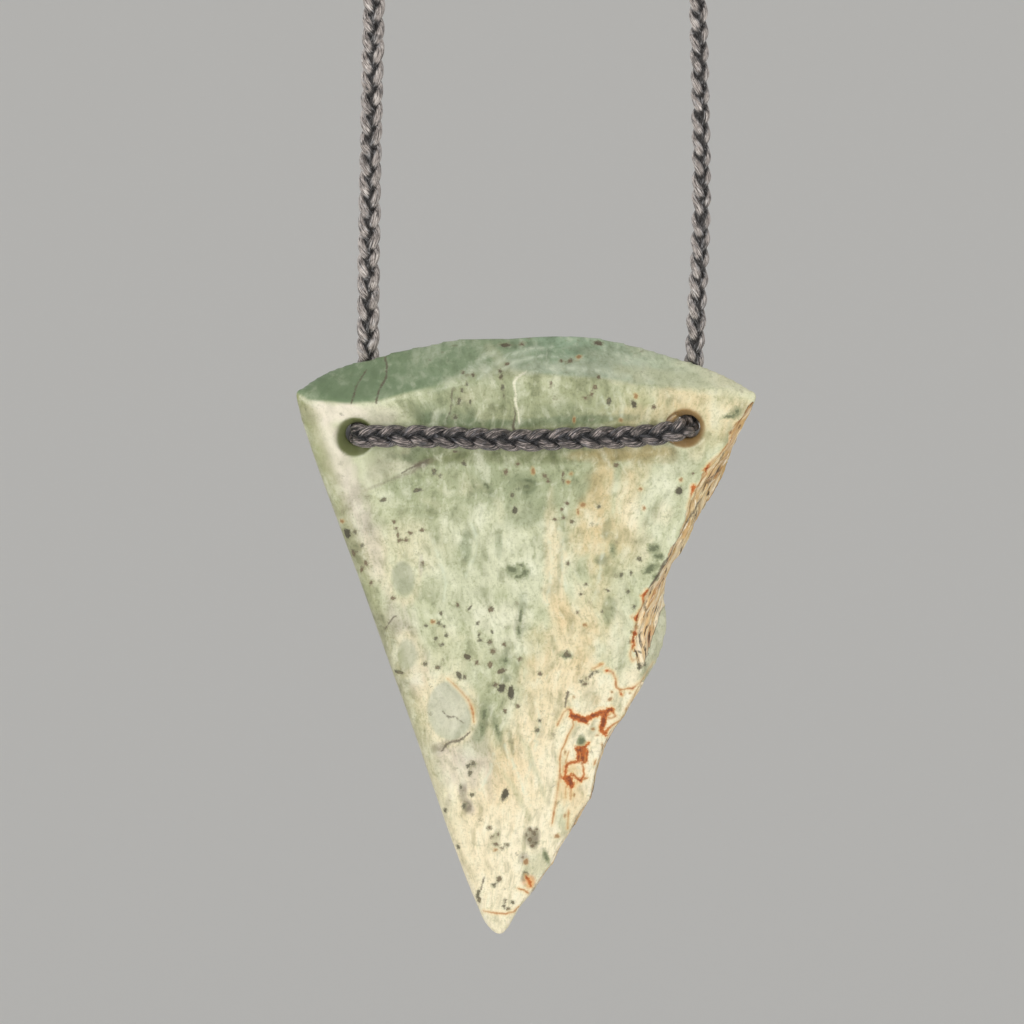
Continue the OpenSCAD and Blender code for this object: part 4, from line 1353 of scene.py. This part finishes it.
def tint_skin(skin):
    """The colour of each point, with its painted shade and highlights, and how much of the mottling shows
    there.
    """
    across, down, facet = skin.across, skin.down, skin.facet
    wander = swells(skin.points, 0.006, 61) * 0.30 + swells(skin.fibre * (1, 0.3, 1), 1.5, 73) * 0.26
    wander = wander + swells(skin.points, 0.0018, 79, octaves=2) * 0.16
    shift = np.stack([swells(skin.points, 0.011, 67), swells(skin.points, 0.011, 71)], axis=1) * 3.0
    colour = np.zeros((len(skin.points), 3))
    colour += linear(*TONES["pale_green"])
    tinge(colour, smooth_step(down + 30 * wander, 600, 770), "ivory")
    lay_clouds(colour, skin.place + shift, wander, FACE_CLOUDS)
    # The smudges, with the painted shade along the cord, lie on the face only
    lay_clouds(colour, skin.place, wander * 0.8, SMUDGES_AND_CORD_SHADE, 0.4, skin.face)
    lay_facet(colour, skin, skin.place + shift, wander)
    busy = 1 - 0.3 * facet * smooth_step(-across, -480, -400) - 0.2 * facet
    busy -= 0.15 * smooth_step(down, 700, 800)
    # Calmer mottling round the left hole, where the painted sheen lies
    busy *= 1 - 0.6 * smooth_step(inside_spot(skin.place, 350, 440, 50, 60, 0), -0.2, 0.6)
    for name, *orb in ORBS:
        lay_orb(colour, busy, skin, skin.place + shift * 0.3, wander, name, orb)
    way = np.array(LEFT_FOOT, float) - LEFT_TOP
    way /= np.linalg.norm(way)
    from_left = (across - LEFT_TOP[0]) * way[1] - (down - LEFT_TOP[1]) * way[0]
    # Painted shade: the rounded left edge turns olive
    left_rim_shade = smooth_step(-from_left + wander * 5, -19, -5) * (1 - facet)
    tinge(colour, left_rim_shade * np.interp(down, *zip(*LEFT_RIM_SHADE)), "rim_shade_olive")
    for (x, y), name in zip(HOLE_PLACES, ("shade_olive", "bore_tan")):
        bore = smooth_step(-np.hypot(across - x, down - y), -HOLE_MOUTH - 2, -HOLE_MOUTH + 0.5)
        tinge(colour, bore, name)
        # Painted shade that darkens each bore deeper in
        tinge(colour, bore * smooth_step(skin.depth, 0.0015, 0.006) * 0.85, "hole_depth_shade")
        busy *= 1 - 0.7 * bore
    tinge(colour, skin.smooth_rim * 0.9, "rim_green")
    return colour * TINT_BALANCE, np.clip(busy, 0.15, 1)


def finish_stone(stone, cord_line):
    """Shapes the holes, the broken side and the polish, and keeps on the mesh what its material needs."""
    mesh = stone.data
    skin = read_skin(mesh)
    skin.facet = find_facet(skin)
    find_broken_side(skin)
    skin.fibre = find_fibre(skin)
    marks = {name: measure(skin.place, table) for name, measure, table in MARKS}
    draw_in_holes(skin, cord_line)
    cut_surface(skin, marks)
    put_points(mesh, skin.points)
    colour, busy = tint_skin(skin)
    note(mesh, "fibre", skin.fibre, "FLOAT_VECTOR", "vector")
    note(mesh, "lane", skin.lane)
    note(mesh, "run", skin.run)
    note(mesh, "rough", skin.rough)
    note(mesh, "tint", np.c_[colour, np.ones(len(colour))], "FLOAT_COLOR", "color")
    note(mesh, "busy", busy)
    # Nothing that is placed by the photograph shows where the surface is hidden from the front
    hidden = FAR_OFF * (1 - skin.face)
    for name, (near, inside) in marks.items():
        note(mesh, name + "_at", near, "FLOAT_VECTOR", "vector")
        note(mesh, name + "_far", near[:, 2] - inside + hidden)
    patch = np.max([inside_patch(skin.place, corners) for corners in RUST_PATCHES], axis=0)
    note(mesh, "patch", patch - hidden)
    smooth_all_over(mesh)


def tone(name):
    return rgba(*TONES[name])


def inside_marks(tree, name, torn, amount):
    """How far inside the nearest mark of a kind the surface lies, in pixels, with a torn rim. The way from a
    mark keeps it sharp between vertices, and the distance mends the places where that way turns over."""
    at = add(tree, "SeparateXYZ", {"Vector": named(tree, name + "_at", "Vector")}).outputs
    flat = add(tree, "CombineXYZ", {"X": at["X"], "Y": at["Y"]}).outputs["Vector"]
    gap = add(tree, "VectorMath", {0: flat}, operation="LENGTH").outputs["Value"]
    far = difference(tree, named(tree, name + "_far"), 0.5)
    inside = difference(tree, at["Z"], larger(tree, gap, far))
    return sum_of(tree, inside, product(tree, torn, amount))


def size_of_marks(tree, name):
    return add(tree, "SeparateXYZ", {"Vector": named(tree, name + "_at", "Vector")}).outputs["Z"]


def lay(tree, colour, inside, *rows):
    """Lays colours over another, each where a value goes from low to high: tone, low, high, cover."""
    for name, low, high, cover in rows:
        colour = layer(tree, colour, tone(name), between(tree, inside, low, high, 0, cover))
    return colour


def jade_patterns(tree):
    """The noise in the stone: drawn out along its fibres, and finer and the same all ways."""
    where = object_pattern(tree)
    fibre = named(tree, "fibre", "Vector")
    swirl = add(tree, "TexNoise", {"Vector": fibre, "Scale": 0.2, "Detail": 2.0}).outputs["Color"]
    swirl = add(tree, "VectorMath", {0: swirl, 1: (2.4, 3.0, 2.0), 2: fibre}, operation="MULTIPLY_ADD")
    flow = swirl.outputs["Vector"]
    return SimpleNamespace(
        where=where,
        blots=clouds(tree, stretched(tree, flow, (0.42, 0.26, 0.14)), 1.0, detail=3, roughness=0.5),
        dapple=clouds(tree, stretched(tree, flow, (1.1, 0.70, 0.25)), 1.0, detail=3),
        strokes=clouds(tree, stretched(tree, flow, (2.4, 0.6, 0.4)), 1.0, detail=2, roughness=0.5),
        marble=clouds(tree, where, 150, detail=4, distortion=0.4),
        fine=clouds(tree, where, 1300, detail=3, roughness=0.6),
        grit=clouds(tree, where, 3400, detail=2, roughness=0.6),
    )


def mottle(tree, colour, noise):
    """Light and dark in the body of the stone, its cloudy tints, and a pepper of small dots."""
    mottled = colour
    for name, pattern, low, high, cover, blend in (
        ("body_shade", noise.blots, 0.48, 0.74, 0.65, "MULTIPLY"),
        ("bloom", noise.blots, 0.50, 0.26, 0.45, "MIX"),
        ("body_shade", noise.dapple, 0.50, 0.76, 0.45, "MULTIPLY"),
        ("bloom", noise.dapple, 0.48, 0.24, 0.3, "MIX"),
        ("cream", noise.marble, 0.44, 0.26, 0.3, "MIX"),
        ("stroke_shade", noise.strokes, 0.52, 0.74, 0.4, "MULTIPLY"),
        ("fine_shade", noise.fine, 0.52, 0.74, 0.6, "MULTIPLY"),
        ("grit_shade", noise.grit, 0.50, 0.72, 0.5, "MULTIPLY"),
    ):
        mottled = layer(tree, mottled, tone(name), between(tree, pattern, low, high, 0, cover), blend)
    colour = layer(tree, colour, mottled, named(tree, "busy"))
    cells = add(tree, "TexVoronoi", {"Vector": noise.where, "Scale": 560.0})
    rare = add(tree, "SeparateColor", {"Color": cells.outputs["Color"]}).outputs["Red"]
    dot = sum_of(tree, cells.outputs["Distance"], between(tree, noise.grit, 0.3, 0.7, -0.12, 0.12))
    few = between(tree, rare, 0.80, 0.95, 0, 0.5)
    return layer(tree, colour, tone("pepper"), product(tree, between(tree, dot, 0.10, 0.22, 1, 0), few))


def tear(tree, colour, noise):
    """Lanes of cream, gold and brown along the broken side, with pale crests that are a painted highlight.
    Also how rough each place is, and its relief.
    """
    run = named(tree, "run")
    lanes = add(tree, "CombineXYZ", {"X": named(tree, "lane"), "Y": product(tree, run, 0.15)})
    lanes = lanes.outputs["Vector"]
    wide_lanes = clouds(tree, lanes, 0.9, detail=5, roughness=0.62, distortion=0.4)
    narrow_lanes = clouds(tree, lanes, 2.0, detail=4, roughness=0.65, distortion=0.5)
    below = between(tree, run, 80, 88)
    pale = layer(tree, tone("torn_cream"), tone("low_cream"), below)
    tawny = layer(tree, tone("torn_gold"), tone("low_gold"), below)
    brown = layer(tree, tone("torn_brown"), tone("low_brown"), below)
    torn = layer(tree, pale, tawny, between(tree, wide_lanes, 0.42, 0.54))
    torn = layer(tree, torn, brown, between(tree, wide_lanes, 0.54, 0.64, 0, 0.9))
    torn = lay(tree, torn, noise.marble, ("torn_mauve", 0.50, 0.62, 0.35))
    # Dark lines along the lanes, and pale crests that are a painted highlight
    torn = lay(tree, torn, narrow_lanes, ("torn_groove", 0.55, 0.65, 0.95), ("torn_crest_highlight", 0.44, 0.34, 0.9))
    rough = sum_of(tree, named(tree, "rough"), between(tree, noise.fine, 0.3, 0.7, -0.25, 0.25))
    rough = between(tree, rough, 0.40, 0.60)
    relief = product(tree, sum_of(tree, wide_lanes, narrow_lanes), rough)
    return layer(tree, colour, torn, rough), rough, relief


def lay_marks(tree, colour, noise, torn, broken):
    """Wisps and a painted highlight along the ridge, blotches, the ledge with its painted highlight, cracks,
    specks and freckles. Also how far inside a speck each place is.
    """
    # Pale wisps, and the painted highlight along the ridge
    wisps_and_sheen = between(tree, inside_marks(tree, "wisps_and_sheen", broken, 0.9), -3.6, 1.6)
    wisps_and_sheen = product(tree, wisps_and_sheen, between(tree, noise.dapple, 0.42, 0.58, 0.1, 0.55))
    colour = layer(tree, colour, tone("wisp_and_sheen"), wisps_and_sheen)
    blotches = inside_marks(tree, "blotches", broken, 2.0)
    colour = lay(tree, colour, blotches, ("blotch_halo", -4.0, 1.0, 0.6), ("blotch", -1.0, 2.4, 0.75))
    # The ledge's pale line, a painted highlight on its edge
    colour = lay(tree, colour, inside_marks(tree, "ledge", torn, 1.5), ("ledge_highlight", -1.6, 1.0, 0.75))
    colour = lay(tree, colour, inside_marks(tree, "cracks", torn, 1.0), ("crack", -1.4, 0.8, 0.85))
    specks = inside_marks(tree, "specks", torn, 1.7)
    dark = layer(tree, tone("speck_olive"), tone("speck_brown"), between(tree, noise.marble, 0.44, 0.56))
    core = product(tree, between(tree, specks, 0.9, 2.3), between(tree, noise.fine, 0.40, 0.56))
    dark = layer(tree, dark, tone("speck_core"), product(tree, core, 0.45))
    dark = lay(tree, dark, size_of_marks(tree, "specks"), ("speck_large", 2.5, 3.6, 0.85))
    colour = lay(tree, colour, specks, ("speck_halo", -2.6, 0.2, 0.4))
    colour = layer(tree, colour, dark, between(tree, specks, -1.1, 1.3, 0, 0.92))
    freckles = inside_marks(tree, "freckles", torn, 1.2)
    colour = lay(tree, colour, freckles, ("freckle_halo", -2.0, 0.8, 0.5), ("freckle", -0.5, 1.4, 0.75))
    return colour, specks


def rust(tree, colour, noise, uneven, broken):
    """Rust: thin threads are pale and soft, thick ones deep with burnt middles."""
    patch = sum_of(tree, named(tree, "patch"), broken)
    widths = larger(tree, size_of_marks(tree, "veins"), sum_of(tree, patch, 1.0))
    thick = between(tree, widths, 0.8, 1.9)
    torn_by = product(tree, between(tree, thick, 0, 1, 0.35, 1.0), broken)
    veins = larger(tree, inside_marks(tree, "veins", torn_by, 1.0), patch)
    stain = layer(tree, tone("thin_stain"), tone("thick_stain"), thick)
    colour = layer(tree, colour, stain, between(tree, veins, -3.4, -0.2, 0, 0.45))
    thread = layer(tree, tone("thin_rust"), tone("thick_rust"), thick)
    kept = larger(tree, between(tree, noise.marble, 0.40, 0.56, 0.35, 0.9), thick)
    colour = layer(tree, colour, thread, product(tree, between(tree, veins, -1.0, 0.9), kept))
    deep = product(tree, between(tree, veins, 0.0, 1.4), between(tree, thick, 0, 1, 0.1, 1))
    colour = layer(tree, colour, tone("deep_rust"), deep)
    burnt = product(tree, between(tree, veins, 0.4, 2.4), between(tree, uneven, -0.20, 0.22, 0.1, 0.9))
    colour = layer(tree, colour, tone("burnt_rust"), burnt)
    gold = product(tree, between(tree, patch, 0.2, 1.5), between(tree, noise.strokes, 0.50, 0.62, 0, 0.45))
    return layer(tree, colour, tone("rust_gold"), gold)


def polished_jade():
    """Pale green nephrite: marbled and dappled, with specks, rust in its cracks and a rough broken side."""
    material, tree, shader = new_finish("polished_jade")
    noise = jade_patterns(tree)
    colour = mottle(tree, named(tree, "tint", "Color"), noise)
    colour, rough, torn_relief = tear(tree, colour, noise)
    # The rims of placed marks are broken up by the grain
    ragged = between(tree, noise.grit, 0.3, 0.7, -0.5, 0.5, "LINEAR")
    uneven = between(tree, noise.fine, 0.3, 0.7, -0.5, 0.5, "LINEAR")
    torn = sum_of(tree, ragged, uneven)
    broken = sum_of(tree, product(tree, uneven, 2.0), product(tree, ragged, 1.2))
    colour, specks = lay_marks(tree, colour, noise, torn, broken)
    colour = rust(tree, colour, noise, uneven, broken)
    dark = between(tree, specks, -0.5, 0.6)
    gloss = sum_of(tree, between(tree, noise.fine, 0.35, 0.7, 0.28, 0.38), product(tree, rough, 0.3))
    gloss = sum_of(tree, gloss, product(tree, dark, 0.12))
    relief = sum_of(tree, product(tree, noise.fine, 0.2), product(tree, noise.strokes, 0.05))
    relief = difference(tree, relief, product(tree, dark, 0.5))
    polish = bumps(tree, relief, 0.00004, 0.6)
    give(tree, shader, {
        "Base Color": colour,
        "Roughness": gloss,
        "Specular IOR Level": 0.5,
        "Subsurface Weight": 0.12,
        "Subsurface Radius": (0.9, 1.0, 0.6),
        "Subsurface Scale": 0.0012,
        "Normal": bumps(tree, torn_relief, 0.0006, 0.8, Normal=polish),
    })
    return material


join = build_join()
join.data.materials.append(whipping_thread())
cord = build_cord()
cord.data.materials.append(waxed_fibre())
stone = carve_stone()
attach(stone, "root")
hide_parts("pendant_stone")
finish_stone(stone, smooth_route()[0][::2])
stone.data.materials.append(polished_jade())


# Floor, world and lights

FLOOR_Z = -0.62
FLOOR_SIZE = 10
BACKDROP_Y = 4.0
BACKDROP_HEIGHT = 3
SWEEP_RADIUS = 1.4
WORLD_STRENGTH = 0.64
STONE_MIDDLE = (0.0, -0.005, -0.205)
# The soft lights: name, place, width and power
LAMPS = [
    ("key_left_front", (-0.42, -0.85, -0.20), 0.5, 4.1),
    ("fill_right", (0.6, -0.75, -0.15), 0.6, 2.4),
    ("rim_behind", (-0.5, 0.5, 0.15), 0.5, 1.5),
]


def select_edges(piece, wanted):
    """Selects the edges whose two ends both are as wanted, and goes into edit mode."""
    bpy.ops.object.mode_set(mode="EDIT")
    bpy.ops.mesh.select_mode(type="EDGE")
    bpy.ops.mesh.select_all(action="DESELECT")
    bpy.ops.object.mode_set(mode="OBJECT")
    ends = piece.data.vertices
    for edge in piece.data.edges:
        edge.select = all(wanted(ends[index].co) for index in edge.vertices)
    bpy.ops.object.mode_set(mode="EDIT")


def build_studio():
    """A pale floor that sweeps up into a backdrop, and a pale world."""
    bpy.ops.object.select_all(action="DESELECT")
    bpy.ops.mesh.primitive_plane_add(size=FLOOR_SIZE, location=(0, BACKDROP_Y - FLOOR_SIZE / 2, FLOOR_Z))
    floor = bpy.context.object
    floor.name = "floor_sweep"
    select_edges(floor, lambda end: end.y > 0)
    bpy.ops.mesh.extrude_region_move(TRANSFORM_OT_translate={"value": (0, 0, BACKDROP_HEIGHT)})
    select_edges(floor, lambda end: end.y > 0 and end.z < BACKDROP_HEIGHT / 2)
    bpy.ops.mesh.bevel(offset=SWEEP_RADIUS, segments=24)
    bpy.ops.object.mode_set(mode="OBJECT")
    bpy.ops.object.shade_smooth()
    settle(floor)
    material, tree, shader = new_finish("pale_paper")
    give(tree, shader, {"Base Color": rgba(238, 237, 234), "Roughness": 0.9, "Specular IOR Level": 0.1})
    floor.data.materials.append(material)
    world = bpy.data.worlds.new("pale_studio")
    bpy.context.scene.world = world
    world.use_nodes = True
    background = world.node_tree.nodes["Background"]
    background.inputs["Color"].default_value = rgba(232, 232, 232)
    background.inputs["Strength"].default_value = WORLD_STRENGTH
    bpy.context.scene.view_settings.view_transform = "Standard"


def add_softbox(name, place, size, power):
    """A round soft light that faces the stone."""
    bpy.ops.object.light_add(type="AREA", location=place)
    light = bpy.context.object
    light.name = name
    light.data.shape = "DISK"
    light.data.size = size
    light.data.energy = power
    light.visible_camera = False
    light.rotation_euler = (Vector(STONE_MIDDLE) - Vector(place)).to_track_quat("-Z", "Y").to_euler()


build_studio()
for lamp in LAMPS:
    add_softbox(*lamp)
